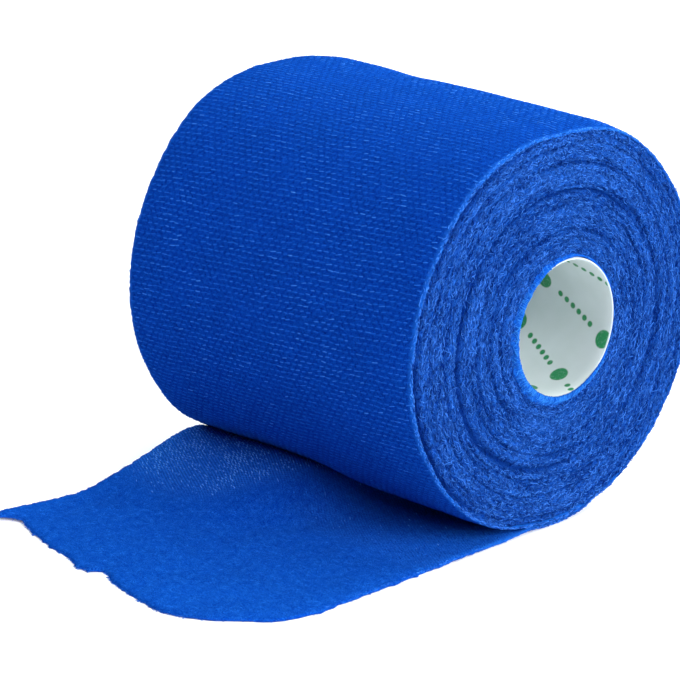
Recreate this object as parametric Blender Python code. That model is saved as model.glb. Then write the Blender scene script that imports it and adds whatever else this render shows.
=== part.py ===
"""Cohesive bandage roll: an elastic band wound on a thin tube, with its loose
end laid out in front of the roll.

Frame: metres, +Z up. The roll's axis runs along X, and its open end, seen in
front, faces +X. The loose end runs out towards -Y. The origin is the point of
the surface under the roll's axis, half way along the roll.

Angles round the roll are measured from straight down: 0 is the bottom, 90 the
front (-Y), 180 the top and 270 the back (+Y).
"""
import bisect
import math

import bmesh
import bpy
from mathutils import Vector

for ob in list(bpy.data.objects):
    bpy.data.objects.remove(ob, do_unlink=True)

MM = 0.001

# ---------------------------------------------------------------- sizes (mm)
BAND_WIDTH = 80.0          # the band, and so the roll, from end to end
ROLL_RADIUS = 41.3         # nominal, over the outermost turn
REST_FLAT = 0.15           # how much the roll is flattened where it rests
AXIS_HEIGHT = ROLL_RADIUS - REST_FLAT
CLEAR = 0.3                # gap between separate pieces

BORE_RADIUS = 13.8         # inside of the tube
TUBE_WALL = 0.75
TUBE_WIDTH = 80.0
TUBE_OFFSET_Y = 0.75       # the winding is a little thicker in front
TUBE_OFFSET_Z = 0.45
END_CONE = 1.6             # the inner turns stand this much further towards +X
TUBE_SHIFT = 1.7           # and the tube with them

SHEET = 1.0                # thickness of the loose end
RECESS_RADIUS = ROLL_RADIUS - SHEET - CLEAR   # roll where the loose end wraps it
RECESS_FROM = -15.0        # the wrapped stretch starts behind the bottom
RECESS_TO = 38.0
RECESS_FADE = 49.0         # the roll is back at its own outline here
REST_TOP = SHEET + CLEAR   # lowest level of the roll, over the loose end

EDGE_ROUND = 0.9           # rounding of the roll's outer edges
GROOVE_DEPTH = 1.2
GROOVE_WIDTH = 0.9

ROLL_STEPS = 120           # sections round the roll
TUBE_STEPS = 64

# Outline of the wound form: (angle, radius), in degrees and mm
OUTLINE = (
    (45.0, 41.3), (60.0, 41.3), (75.0, 41.6), (90.0, 41.6), (105.0, 41.3),
    (120.0, 41.2), (135.0, 41.6), (147.0, 41.8), (160.0, 41.3), (170.0, 40.8),
    (180.0, 40.3), (190.0, 40.6), (200.0, 41.3), (210.0, 41.7), (226.0, 41.6),
    (240.0, 41.6), (270.0, 41.5), (300.0, 41.5), (325.0, 41.4), (342.0, 41.5),
)

# Grooves in both end faces: share of the winding's depth from the tube out
GROOVES = (0.524, 0.945)

# The loose end across its width. x: place along the roll's axis; leave: angle
# at which the cloth leaves the roll; toe: y where it meets the surface;
# pull_up and pull_out: how stiffly it leaves the roll and lands; all in mm
# but for leave, in degrees
LOOSE = (
    # x,    leave, toe,   pull_up, pull_out
    (-40.0, 30.0, -56.0, 21.0, 35.0),
    (-26.0, 32.5, -56.0, 21.5, 34.0),
    (-12.0, 35.0, -54.0, 20.0, 32.0),
    (-4.0, 34.0, -50.0, 18.0, 30.0),
    (2.0, 28.0, -46.0, 16.0, 28.0),
    (8.0, 20.0, -38.0, 14.0, 22.0),
    (16.0, 14.0, -30.0, 10.0, 16.0),
    (28.0, 10.0, -24.0, 6.0, 12.0),
    (39.6, 8.0, -20.0, 5.0, 10.0),
)

# The cut end: x, y of its outline and the lift of the cloth there, in mm
CUT_END = (
    # x,     y,     lift
    (-42.6, -79.0, 0.1), (-40.2, -76.6, 0.3), (-37.0, -74.6, 0.3),
    (-31.0, -76.8, 0.2), (-22.0, -79.4, 0.0), (-14.0, -81.2, 0.0),
    (-9.1, -83.0, 0.1), (-6.6, -82.8, 0.1), (-5.4, -81.0, 0.0),
    (-0.7, -82.6, 0.0), (4.1, -84.3, 0.0), (11.3, -85.8, 0.0),
    (18.1, -86.8, 0.1), (24.6, -85.2, 0.1), (30.0, -81.2, 0.0),
    (33.7, -78.2, 0.0), (36.7, -75.6, 0.0), (38.4, -72.0, 0.0),
    (39.6, -66.5, 0.0),
)
FAR_LIFT = 0.35            # the far edge curls up a little off the surface
FAR_LIFT_WIDTH = 9.0

WRAP_STEPS = 12
FREE_STEPS = 20
FLAT_STEPS = 12


# ------------------------------------------------------------------- helpers
def read_table(table, column, at):
    """Smooth reading of one column of a table against its first column."""
    keys = [row[0] for row in table]
    vals = [row[column] for row in table]
    if at <= keys[0]:
        return vals[0]
    if at >= keys[-1]:
        return vals[-1]
    i = bisect.bisect_right(keys, at) - 1
    slopes = [(vals[k + 1] - vals[k]) / (keys[k + 1] - keys[k])
              for k in range(len(keys) - 1)]

    def tangent(k):
        if k == 0:
            return slopes[0]
        if k == len(keys) - 1:
            return slopes[-1]
        a, b = slopes[k - 1], slopes[k]
        return 0.0 if a * b <= 0.0 else 2.0 * a * b / (a + b)

    h = keys[i + 1] - keys[i]
    t = (at - keys[i]) / h
    return ((2 * t ** 3 - 3 * t ** 2 + 1) * vals[i]
            + (t ** 3 - 2 * t ** 2 + t) * h * tangent(i)
            + (3 * t ** 2 - 2 * t ** 3) * vals[i + 1]
            + (t ** 3 - t ** 2) * h * tangent(i + 1))


def ease(t):
    t = min(1.0, max(0.0, t))
    return t * t * (3.0 - 2.0 * t)


def around(angle):
    """Unit direction (y, z) at an angle round the roll."""
    a = math.radians(angle)
    return -math.sin(a), -math.cos(a)


def outline(angle):
    """Outer radius of the wound solid, with the recess for the loose end."""
    if angle < RECESS_TO:
        return RECESS_RADIUS
    full = read_table(OUTLINE, 1, angle)
    if angle < RECESS_FADE:
        return RECESS_RADIUS + (full - RECESS_RADIUS) * ease(
            (angle - RECESS_TO) / (RECESS_FADE - RECESS_TO))
    return full


def make_object(name, bm, material, sharp=35.0):
    bmesh.ops.recalc_face_normals(bm, faces=bm.faces)
    mesh = bpy.data.meshes.new(name)
    bm.to_mesh(mesh)
    bm.free()
    mesh.materials.append(material)
    mesh.shade_smooth()
    mesh.set_sharp_from_angle(angle=math.radians(sharp))
    ob = bpy.data.objects.new(name, mesh)
    bpy.context.scene.collection.objects.link(ob)
    return ob


def principled(name, colour, roughness):
    mat = bpy.data.materials.new(name)
    mat.use_nodes = True
    bsdf = mat.node_tree.nodes["Principled BSDF"]
    bsdf.inputs["Base Color"].default_value = (*colour, 1.0)
    bsdf.inputs["Roughness"].default_value = roughness
    bsdf.inputs["Metallic"].default_value = 0.0
    return mat


def skin_loops(bm, loops, closed_across=True):
    """Join a closed chain of loops of points into one skin."""
    rows = [[bm.verts.new(Vector(p) * MM) for p in loop] for loop in loops]
    n = len(rows[0])
    for i, row in enumerate(rows):
        nxt = rows[(i + 1) % len(rows)]
        for j in range(n if closed_across else n - 1):
            k = (j + 1) % n
            bm.faces.new((row[j], row[k], nxt[k], nxt[j]))


# ------------------------------------------------------------ the wound roll
def roll_section(angle, radius):
    """Closed loop of points of the winding's section at one angle. Its ends are
    shallow cones: the turns have slid a little towards +X round the tube."""
    dy, dz = around(angle)
    inner = BORE_RADIUS + TUBE_WALL + CLEAR
    half = BAND_WIDTH / 2.0

    def place(x, share, back=0.0):
        # share 0 is on the tube, 1 on the outside
        cy = TUBE_OFFSET_Y * (1.0 - share)
        cz = TUBE_OFFSET_Z * (1.0 - share)
        r = inner + (radius - inner) * share - back
        y = cy + r * dy
        z = AXIS_HEIGHT + cz + r * dz
        return (x + END_CONE * (1.0 - share), y, max(z, REST_TOP))

    face = [(half, 0.0, 0.0)]
    depth = ROLL_RADIUS - inner
    for share in GROOVES:
        w = GROOVE_WIDTH / 2.0 / depth
        face += [(half, share - w, 0.0), (half - GROOVE_DEPTH, share, 0.0),
                 (half, share + w, 0.0)]
    rim = [(half - 0.25 * EDGE_ROUND, 1.0, 0.35 * EDGE_ROUND),
           (half - EDGE_ROUND, 1.0, 0.0)]
    near = face + rim
    far = [(-x, share, back) for x, share, back in reversed(near)]
    return [place(*p) for p in near + far]


def build_roll(material):
    angles = [RECESS_FROM + 360.0 * i / ROLL_STEPS for i in range(ROLL_STEPS + 1)]
    loops = []
    for a in angles[:-1]:
        loops.append(roll_section(a, outline(a)))
    # the last section stands at the step where the loose end takes over
    loops.append(roll_section(angles[-1] - 0.15, outline(angles[-1])))
    bm = bmesh.new()
    skin_loops(bm, loops)
    return make_object("bandage_roll", bm, material)


# ------------------------------------------------------------- the loose end
def loose_path(x):
    """Middle of the cloth at one x, from its root under the roll to its cut
    end: a list of (x, y, z)."""
    leave = read_table(LOOSE, 1, x)
    toe = read_table(LOOSE, 2, x)
    up = read_table(LOOSE, 3, x)
    out = read_table(LOOSE, 4, x)
    end_y = read_table(CUT_END, 1, x)
    lift = read_table(CUT_END, 2, x)
    far = FAR_LIFT * ease((x + BAND_WIDTH / 2.0 - FAR_LIFT_WIDTH)
                          / -FAR_LIFT_WIDTH)
    mid = ROLL_RADIUS - SHEET / 2.0
    root = RECESS_FROM + 0.6
    pts = []
    for i in range(WRAP_STEPS):
        dy, dz = around(root + (leave - root) * i / WRAP_STEPS)
        pts.append((x, mid * dy, max(AXIS_HEIGHT + mid * dz, SHEET / 2.0)))
    a = math.radians(leave)
    y0, z0 = -mid * math.sin(a), max(AXIS_HEIGHT - mid * math.cos(a), SHEET / 2.0)
    y1, z1 = toe, SHEET / 2.0 + far
    for i in range(FREE_STEPS):
        t = i / FREE_STEPS
        h00, h10 = 2 * t ** 3 - 3 * t ** 2 + 1, t ** 3 - 2 * t ** 2 + t
        h01, h11 = 3 * t ** 2 - 2 * t ** 3, t ** 3 - t ** 2
        y = h00 * y0 - h10 * up * math.cos(a) + h01 * y1 - h11 * out
        z = h00 * z0 + h10 * up * math.sin(a) + h01 * z1
        pts.append((x, y, max(z, SHEET / 2.0)))
    for i in range(FLAT_STEPS + 1):
        t = i / FLAT_STEPS
        spread = ease(t) * (read_table(SPREAD, 1, x) - x)
        pts.append((x + spread, toe + (end_y - toe) * t,
                    z1 + (lift - 0.0) * ease(t) * 0.8))
    return pts


# How the columns of cloth fan out towards the cut end, so that its far corner
# reaches its tip: place across the band, place at the cut end, in mm
SPREAD = ((-40.0, -42.6), (-36.0, -37.6), (-30.0, -30.4), (-20.0, -20.0),
          (39.6, 39.6))


def build_loose_end(material):
    stations = [-40.0, -38.6, -37.0, -34.0, -31.0, -26.5, -22.0, -18.0, -14.0,
                -11.5, -9.1, -6.6, -5.4, -3.0, -0.7, 1.7, 4.1, 7.6, 11.3, 14.7,
                18.1, 21.3, 24.6, 27.3, 30.0, 33.7, 36.7, 38.4, 39.6]
    grid = []
    for x in stations:
        col = loose_path(x)
        end_x = col[-1][0]
        y_end = read_table(CUT_END, 1, end_x)
        y_old = col[-1][1]
        toe = read_table(LOOSE, 2, x)
        # stretch the flat stretch so that it ends on the outline
        col = [(px, py if py > toe else toe + (py - toe) * (y_end - toe)
                / (y_old - toe), pz) for px, py, pz in col]
        grid.append([Vector(p) for p in col])
    rows, cols = len(grid[0]), len(grid)
    upper, lower = [], []
    for i in range(cols):
        up_col, low_col = [], []
        for j in range(rows):
            du = grid[min(i + 1, cols - 1)][j] - grid[max(i - 1, 0)][j]
            dv = grid[i][min(j + 1, rows - 1)] - grid[i][max(j - 1, 0)]
            n = du.cross(dv)
            n.normalize()
            if n.z < 0.0:
                n = -n
            up = grid[i][j] + n * SHEET / 2.0
            low = grid[i][j] - n * SHEET / 2.0
            up.z = max(up.z, SHEET)
            low.z = max(low.z, 0.0)
            up_col.append(up)
            low_col.append(low)
        upper.append(up_col)
        lower.append(low_col)
    bm = bmesh.new()
    up_v = [[bm.verts.new(p * MM) for p in col] for col in upper]
    low_v = [[bm.verts.new(p * MM) for p in col] for col in lower]
    for i in range(cols - 1):
        for j in range(rows - 1):
            bm.faces.new((up_v[i][j], up_v[i + 1][j], up_v[i + 1][j + 1], up_v[i][j + 1]))
            bm.faces.new((low_v[i][j], low_v[i][j + 1], low_v[i + 1][j + 1], low_v[i + 1][j]))
    for i in range(cols - 1):
        for j in (0, rows - 1):
            bm.faces.new((up_v[i][j], low_v[i][j], low_v[i + 1][j], up_v[i + 1][j]))
    for j in range(rows - 1):
        for i in (0, cols - 1):
            bm.faces.new((up_v[i][j], up_v[i][j + 1], low_v[i][j + 1], low_v[i][j]))
    return make_object("loose_end", bm, material, sharp=50.0)


# ------------------------------------------------------------- the core tube
def build_tube(material):
    bm = bmesh.new()
    loops = []
    half = TUBE_WIDTH / 2.0
    outer = BORE_RADIUS + TUBE_WALL
    for i in range(TUBE_STEPS):
        dy, dz = around(360.0 * i / TUBE_STEPS)
        cy, cz = TUBE_OFFSET_Y, AXIS_HEIGHT + TUBE_OFFSET_Z
        loops.append([(x, cy + r * dy, cz + r * dz) for x, r in (
            (TUBE_SHIFT + half, BORE_RADIUS), (TUBE_SHIFT + half, outer),
            (TUBE_SHIFT - half, outer), (TUBE_SHIFT - half, BORE_RADIUS))])
    skin_loops(bm, loops)
    return make_object("core_tube", bm, material)


band_cloth = principled("band_cloth", (0.010, 0.075, 0.52), 0.85)
loose_cloth = principled("loose_cloth", (0.010, 0.085, 0.55), 0.85)
tube_card = principled("tube_card", (0.80, 0.83, 0.82), 0.55)

build_roll(band_cloth)
build_loose_end(loose_cloth)
build_tube(tube_card)
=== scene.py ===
"""Looks of the cohesive bandage roll: one band of crepe-like cloth whose
outermost turn runs on into the loose end, the wound turns under it with their
felted end faces, the stitches and fibres of the cloth, and the tube.

Lengths are in millimetres in here and in metres in Blender. Angles round the
roll are measured from straight down: 0 bottom, 90 front (-Y), 180 top, 270
back. `u` is the place across the band, `v` the length along it.
"""

import bisect
import math

import bpy
import numpy as np
from mathutils import Matrix, Vector


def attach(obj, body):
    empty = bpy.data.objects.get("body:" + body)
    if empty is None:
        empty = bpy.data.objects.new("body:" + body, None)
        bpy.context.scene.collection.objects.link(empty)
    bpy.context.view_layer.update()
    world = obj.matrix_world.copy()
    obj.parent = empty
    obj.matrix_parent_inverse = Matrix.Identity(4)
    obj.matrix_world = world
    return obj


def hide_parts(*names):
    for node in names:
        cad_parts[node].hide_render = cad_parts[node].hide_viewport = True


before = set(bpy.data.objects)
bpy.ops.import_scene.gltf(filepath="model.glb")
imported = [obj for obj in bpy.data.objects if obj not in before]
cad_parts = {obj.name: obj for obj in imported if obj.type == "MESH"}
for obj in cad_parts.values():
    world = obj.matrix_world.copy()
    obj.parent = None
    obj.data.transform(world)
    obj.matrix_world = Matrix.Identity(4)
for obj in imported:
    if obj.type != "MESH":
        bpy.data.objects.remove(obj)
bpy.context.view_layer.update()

MM = 0.001

# ------------------------------------------------------- sizes of the model
HALF_WIDTH = 40.0
ROLL_RADIUS = 41.3
AXIS_HEIGHT = 41.15
BORE_RADIUS = 13.8
TUBE_WALL = 0.75
TUBE_OUTER = BORE_RADIUS + TUBE_WALL
WINDING_INNER = TUBE_OUTER + 0.3
WINDING_DEPTH = ROLL_RADIUS - WINDING_INNER
TUBE_OFFSET_Y = 0.75
TUBE_OFFSET_Z = 0.45
END_CONE = 1.6              # the inner turns stand this much further towards +X
TUBE_SHIFT = 1.7            # and the tube with them

CLOTH = 0.62                # thickness of the band
UNDER = 40.42               # outside of the turn that slips under the loose end
WRAP = 41.12                # outside of the loose end where it wraps the roll
TURN_END = -372.0           # angle at which the modelled turn ends, hidden

OUTLINE = (
    (45.0, 41.3), (60.0, 41.3), (75.0, 41.6), (90.0, 41.6), (105.0, 41.3),
    (120.0, 41.2), (135.0, 41.6), (147.0, 41.8), (160.0, 41.3), (170.0, 40.8),
    (180.0, 40.3), (190.0, 40.6), (200.0, 41.3), (210.0, 41.7), (226.0, 41.6),
    (240.0, 41.6), (270.0, 41.5), (300.0, 41.5), (325.0, 41.4), (342.0, 41.5),
)

LOOSE = (
    # x,    leave, toe,   pull_up, pull_out
    (-40.0, 30.0, -56.0, 21.0, 35.0),
    (-26.0, 32.5, -56.0, 21.5, 34.0),
    (-12.0, 35.0, -54.0, 20.0, 32.0),
    (-4.0, 34.0, -50.0, 18.0, 30.0),
    (2.0, 28.0, -46.0, 16.0, 28.0),
    (8.0, 20.0, -38.0, 14.0, 22.0),
    (16.0, 14.0, -30.0, 10.0, 16.0),
    (28.0, 10.0, -24.0, 6.0, 12.0),
    (39.6, 8.0, -20.0, 5.0, 10.0),
)

CUT_END = (
    # x,     y,     lift
    (-42.6, -79.0, 0.1), (-40.2, -76.6, 0.3), (-37.0, -74.6, 0.3),
    (-31.0, -76.8, 0.2), (-22.0, -79.4, 0.0), (-14.0, -81.2, 0.0),
    (-9.1, -83.0, 0.1), (-6.6, -82.8, 0.1), (-5.4, -81.0, 0.0),
    (-0.7, -82.6, 0.0), (4.1, -84.3, 0.0), (11.3, -85.8, 0.0),
    (18.1, -86.8, 0.1), (24.6, -85.2, 0.1), (30.0, -81.2, 0.0),
    (33.7, -78.2, 0.0), (36.7, -75.6, 0.0), (38.4, -72.0, 0.0),
    (39.6, -66.5, 0.0),
)
SPREAD = ((-40.0, -42.6), (-36.0, -37.6), (-30.0, -30.4), (-20.0, -20.0),
          (39.6, 39.6))
FAR_LIFT = 0.35
FAR_LIFT_WIDTH = 9.0

# The knit: rows lie across the band, stitches are staggered from row to row.
# On the roll its outer face shows, on the loose end the other one.
ROW_PITCH = 1.115
STITCH_PITCH = 1.68
ROW_TILT = math.tan(math.radians(2.6))
STITCH_SLANT = math.radians(-8.0)
BACK_ROW_PITCH = 0.66
BACK_STITCH_PITCH = 1.06
BACK_SLANT = math.radians(-25.0)

# Main groove of the end faces: angle, radius, depth, half width
MAIN_GROOVE = (
    (0.0, 28.4, 0.75, 0.46), (50.0, 29.0, 1.15, 0.56), (100.0, 29.0, 1.25, 0.58),
    (148.0, 28.2, 0.8, 0.40), (178.0, 27.9, 0.6, 0.40), (208.0, 28.3, 0.6, 0.55),
    (250.0, 29.5, 0.65, 0.75), (285.0, 29.7, 0.65, 0.75), (316.0, 28.9, 0.5, 0.5),
    (346.0, 28.6, 0.5, 0.46), (360.0, 28.4, 0.75, 0.46),
)
# Gap inside the outermost turn: angle, radius, depth, half width
RIM_GAP = (
    (0.0, 39.4, 0.12, 0.4), (25.0, 39.5, 0.30, 0.4), (42.0, 39.75, 0.9, 0.5), (60.0, 39.95, 1.6, 0.72),
    (100.0, 39.95, 1.7, 0.76), (130.0, 39.9, 1.45, 0.62), (150.0, 39.7, 1.0, 0.48),
    (165.0, 39.6, 0.6, 0.40), (200.0, 39.5, 0.35, 0.40), (240.0, 39.6, 0.35, 0.4),
    (290.0, 39.4, 0.30, 0.45), (330.0, 39.1, 0.25, 0.5), (360.0, 39.4, 0.12, 0.4),
)
# Shorter furrows: middle angle, half span, radius, depth, half width
FURROWS = (
    (111.0, 78.0, 24.3, 0.45, 0.26), (265.0, 52.0, 24.9, 0.55, 0.34),
    (265.0, 48.0, 21.6, 0.42, 0.30), (99.0, 70.0, 20.7, 0.45, 0.42),
    (92.0, 44.0, 18.1, 0.35, 0.35), (75.0, 46.0, 32.3, 0.36, 0.35),
    (96.0, 36.0, 36.2, 0.34, 0.24), (325.0, 60.0, 38.7, 0.40, 0.35),
    (209.0, 60.0, 33.3, 0.38, 0.32), (285.0, 60.0, 36.3, 0.42, 0.32),
    (300.0, 70.0, 33.0, 0.42, 0.34), (31.0, 60.0, 26.0, 0.30, 0.27),
    (187.0, 60.0, 20.3, 0.34, 0.32), (20.0, 60.0, 34.5, 0.28, 0.27),
    (150.0, 40.0, 36.9, 0.36, 0.28), (160.0, 36.0, 25.3, 0.32, 0.28),
    (238.0, 44.0, 38.0, 0.34, 0.28), (340.0, 50.0, 23.4, 0.32, 0.30),
    (50.0, 40.0, 37.6, 0.30, 0.26),
)


# ------------------------------------------------------------- small helpers
def read_table(table, column, at):
    """Smooth reading of one column of a table against its first column."""
    keys = [row[0] for row in table]
    vals = [row[column] for row in table]
    if at <= keys[0]:
        return vals[0]
    if at >= keys[-1]:
        return vals[-1]
    i = bisect.bisect_right(keys, at) - 1
    slopes = [(vals[k + 1] - vals[k]) / (keys[k + 1] - keys[k])
              for k in range(len(keys) - 1)]

    def tangent(k):
        if k == 0:
            return slopes[0]
        if k == len(keys) - 1:
            return slopes[-1]
        a, b = slopes[k - 1], slopes[k]
        return 0.0 if a * b <= 0.0 else 2.0 * a * b / (a + b)

    h = keys[i + 1] - keys[i]
    t = (at - keys[i]) / h
    return ((2 * t ** 3 - 3 * t ** 2 + 1) * vals[i]
            + (t ** 3 - 2 * t ** 2 + t) * h * tangent(i)
            + (3 * t ** 2 - 2 * t ** 3) * vals[i + 1]
            + (t ** 3 - t ** 2) * h * tangent(i + 1))


def tabulate(table, column, low, high, step):
    """A table read into an evenly spaced array, for fast lookup."""
    xs = np.arange(low, high + step * 0.5, step)
    return xs, np.array([read_table(table, column, x) for x in xs])


def smooth(t):
    t = np.clip(t, 0.0, 1.0)
    return t * t * (3.0 - 2.0 * t)


def lattice(seed, na, nb, wrap=True):
    """Smooth noise from -1 to 1 on a grid of na by nb cells over 0..1."""
    rng = np.random.default_rng(seed)
    table = rng.uniform(-1.0, 1.0, (na + (0 if wrap else 1), nb + 1))

    def read(p, q):
        x, y = np.asarray(p) * na, np.asarray(q) * nb
        i, j = np.floor(x).astype(int), np.floor(y).astype(int)
        fx, fy = x - i, y - j
        fx, fy = fx * fx * (3 - 2 * fx), fy * fy * (3 - 2 * fy)
        if wrap:
            i0, i1 = i % na, (i + 1) % na
        else:
            i0, i1 = np.clip(i, 0, na), np.clip(i + 1, 0, na)
        j0, j1 = np.clip(j, 0, nb), np.clip(j + 1, 0, nb)
        return ((table[i0, j0] * (1 - fx) + table[i1, j0] * fx) * (1 - fy)
                + (table[i0, j1] * (1 - fx) + table[i1, j1] * fx) * fy)
    return read


def unit(v):
    return v / np.maximum(np.linalg.norm(v, axis=-1, keepdims=True), 1e-12)


def make_piece(name, verts, faces, material, attributes=(), sharp=None):
    """A mesh object from arrays in mm: faces is a list of index arrays, one
    for each number of corners; attributes are (name, values), one number or
    three for each point, or for each face corner."""
    verts = np.array(verts, dtype=float)
    verts[:, 2] = np.maximum(verts[:, 2], 0.0)
    mesh = bpy.data.meshes.new(name)
    mesh.vertices.add(len(verts))
    mesh.vertices.foreach_set("co", (verts * MM).astype(np.float32).ravel())
    corners = np.concatenate([np.asarray(f).ravel() for f in faces]).astype(np.int32)
    sizes = np.concatenate([np.full(len(f), np.asarray(f).shape[1]) for f in faces])
    starts = np.concatenate([[0], np.cumsum(sizes)[:-1]]).astype(np.int32)
    mesh.loops.add(len(corners))
    mesh.loops.foreach_set("vertex_index", corners)
    mesh.polygons.add(len(sizes))
    mesh.polygons.foreach_set("loop_start", starts)
    mesh.update(calc_edges=True)
    mesh.validate()
    mesh.shade_smooth()
    if sharp is not None:
        mesh.set_sharp_from_angle(angle=math.radians(sharp))
    for title, values in attributes:
        values = np.asarray(values, dtype=np.float32)
        kind = "FLOAT" if values.ndim == 1 else "FLOAT_VECTOR"
        layer = mesh.attributes.new(title, kind, "POINT" if len(values) == len(verts) else "CORNER")
        layer.data.foreach_set("value" if kind == "FLOAT" else "vector", values.ravel())
    mesh.materials.append(material)
    ob = bpy.data.objects.new(name, mesh)
    bpy.context.scene.collection.objects.link(ob)
    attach(ob, "root")
    return ob


def strands(points, radii, up, sides=3, flat=1.0):
    """Closed thin tubes along rows of points (n, k, 3); each end is a point.
    `flat` squeezes them towards `up`. Returns points, triangles and, for each
    point, the number of its strand's point along it."""
    n, k, _ = points.shape
    along = unit(points[:, 2:] - points[:, :-2])
    side = unit(np.cross(along, up[:, None, :]))
    over = np.cross(side, along) * flat
    angles = 2.0 * math.pi * (np.arange(sides) / sides) + math.pi / 2.0
    rings = (points[:, 1:-1, None, :]
             + radii[:, 1:-1, None, None] * (np.cos(angles)[None, None, :, None] * side[:, :, None, :]
                                             + np.sin(angles)[None, None, :, None] * over[:, :, None, :]))
    m = k - 2
    block = np.concatenate([points[:, :1], rings.reshape(n, m * sides, 3), points[:, -1:]], axis=1)
    size = block.shape[1]
    tris = []
    for s in range(sides):
        t = (s + 1) % sides
        tris.append((0, 1 + t, 1 + s))
        for r in range(m - 1):
            a, b = 1 + r * sides + s, 1 + r * sides + t
            c, d = a + sides, b + sides
            tris += [(a, b, d), (a, d, c)]
        last = 1 + (m - 1) * sides
        tris.append((size - 1, last + s, last + t))
    tris = np.array(tris)
    faces = (tris[None] + (np.arange(n) * size)[:, None, None]).reshape(-1, 3)
    station = np.concatenate([[0], np.repeat(np.arange(1, k - 1), sides), [k - 1]])
    return block.reshape(-1, 3), faces, station


def around(angle):
    a = np.radians(angle)
    return -np.sin(a), -np.cos(a)


# ------------------------------------------------------------------ materials
class Graph:
    """A small helper to write a material's nodes."""

    def __init__(self, name, **sockets):
        self.mat = bpy.data.materials.new(name)
        self.mat.use_nodes = True
        self.tree = self.mat.node_tree
        self.tree.nodes.clear()
        self.out = self.tree.nodes.new("ShaderNodeOutputMaterial")
        self.bsdf = self.tree.nodes.new("ShaderNodeBsdfPrincipled")
        self.tree.links.new(self.bsdf.outputs[0], self.out.inputs["Surface"])
        for key, value in sockets.items():
            self.bsdf.inputs[key.replace("_", " ")].default_value = value

    def put(self, socket, value):
        if isinstance(value, bpy.types.NodeSocket):
            self.tree.links.new(value, socket)
        elif isinstance(value, (tuple, list)) and len(value) == 3 and socket.type == "RGBA":
            socket.default_value = (*value, 1.0)
        else:
            socket.default_value = value

    def attribute(self, name, vector=False):
        node = self.tree.nodes.new("ShaderNodeAttribute")
        node.attribute_name = name
        return node.outputs["Vector" if vector else "Fac"]

    def math(self, op, a, b=0.0, clamp=False):
        node = self.tree.nodes.new("ShaderNodeMath")
        node.operation = op
        node.use_clamp = clamp
        self.put(node.inputs[0], a)
        self.put(node.inputs[1], b)
        return node.outputs[0]

    def scaled(self, vector, scale):
        node = self.tree.nodes.new("ShaderNodeVectorMath")
        node.operation = "MULTIPLY"
        self.put(node.inputs[0], vector)
        node.inputs[1].default_value = scale
        return node.outputs[0]

    def split(self, vector):
        node = self.tree.nodes.new("ShaderNodeSeparateXYZ")
        self.put(node.inputs[0], vector)
        return node.outputs

    def object_mm(self):
        node = self.tree.nodes.new("ShaderNodeTexCoord")
        return self.scaled(node.outputs["Object"], (1000.0, 1000.0, 1000.0))

    def noise(self, vector, scale, detail=2.0, rough=0.5, distortion=0.0):
        node = self.tree.nodes.new("ShaderNodeTexNoise")
        self.put(node.inputs["Vector"], vector)
        node.inputs["Scale"].default_value = scale
        node.inputs["Detail"].default_value = detail
        node.inputs["Roughness"].default_value = rough
        node.inputs["Distortion"].default_value = distortion
        return node.outputs["Fac"]

    def threads(self, vector, scale, shift, width, distortion=0.9):
        """1 along thin wandering lines, 0 between them."""
        node = self.tree.nodes.new("ShaderNodeVectorMath")
        node.operation = "MULTIPLY_ADD"
        self.put(node.inputs[0], vector)
        node.inputs[1].default_value = scale
        node.inputs[2].default_value = (shift, 0.7 * shift, 0.3 * shift)
        n = self.noise(node.outputs[0], 1.0, 1.0, 0.5, distortion)
        off = self.math("ABSOLUTE", self.math("SUBTRACT", n, 0.5))
        return self.spread(off, 0.0, width, 1.0, 0.0)

    def spread(self, value, low, high, to_low=0.0, to_high=1.0):
        node = self.tree.nodes.new("ShaderNodeMapRange")
        self.put(node.inputs["Value"], value)
        for key, number in (("From Min", low), ("From Max", high),
                            ("To Min", to_low), ("To Max", to_high)):
            node.inputs[key].default_value = number
        return node.outputs["Result"]

    def mix(self, factor, a, b, blend="MIX"):
        node = self.tree.nodes.new("ShaderNodeMix")
        node.data_type = "RGBA"
        node.blend_type = blend
        self.put(node.inputs["Factor"], factor)
        colour = [s for s in node.inputs if s.type == "RGBA"]
        self.put(colour[0], a)
        self.put(colour[1], b)
        return [s for s in node.outputs if s.type == "RGBA"][0]

    def bump(self, height, strength, distance, normal=None):
        node = self.tree.nodes.new("ShaderNodeBump")
        self.put(node.inputs["Height"], height)
        node.inputs["Strength"].default_value = strength
        node.inputs["Distance"].default_value = distance
        if normal is not None:
            self.put(node.inputs["Normal"], normal)
        return node.outputs["Normal"]


BLUE_SHEEN = (0.04, 0.36, 1.0, 1.0)


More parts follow.
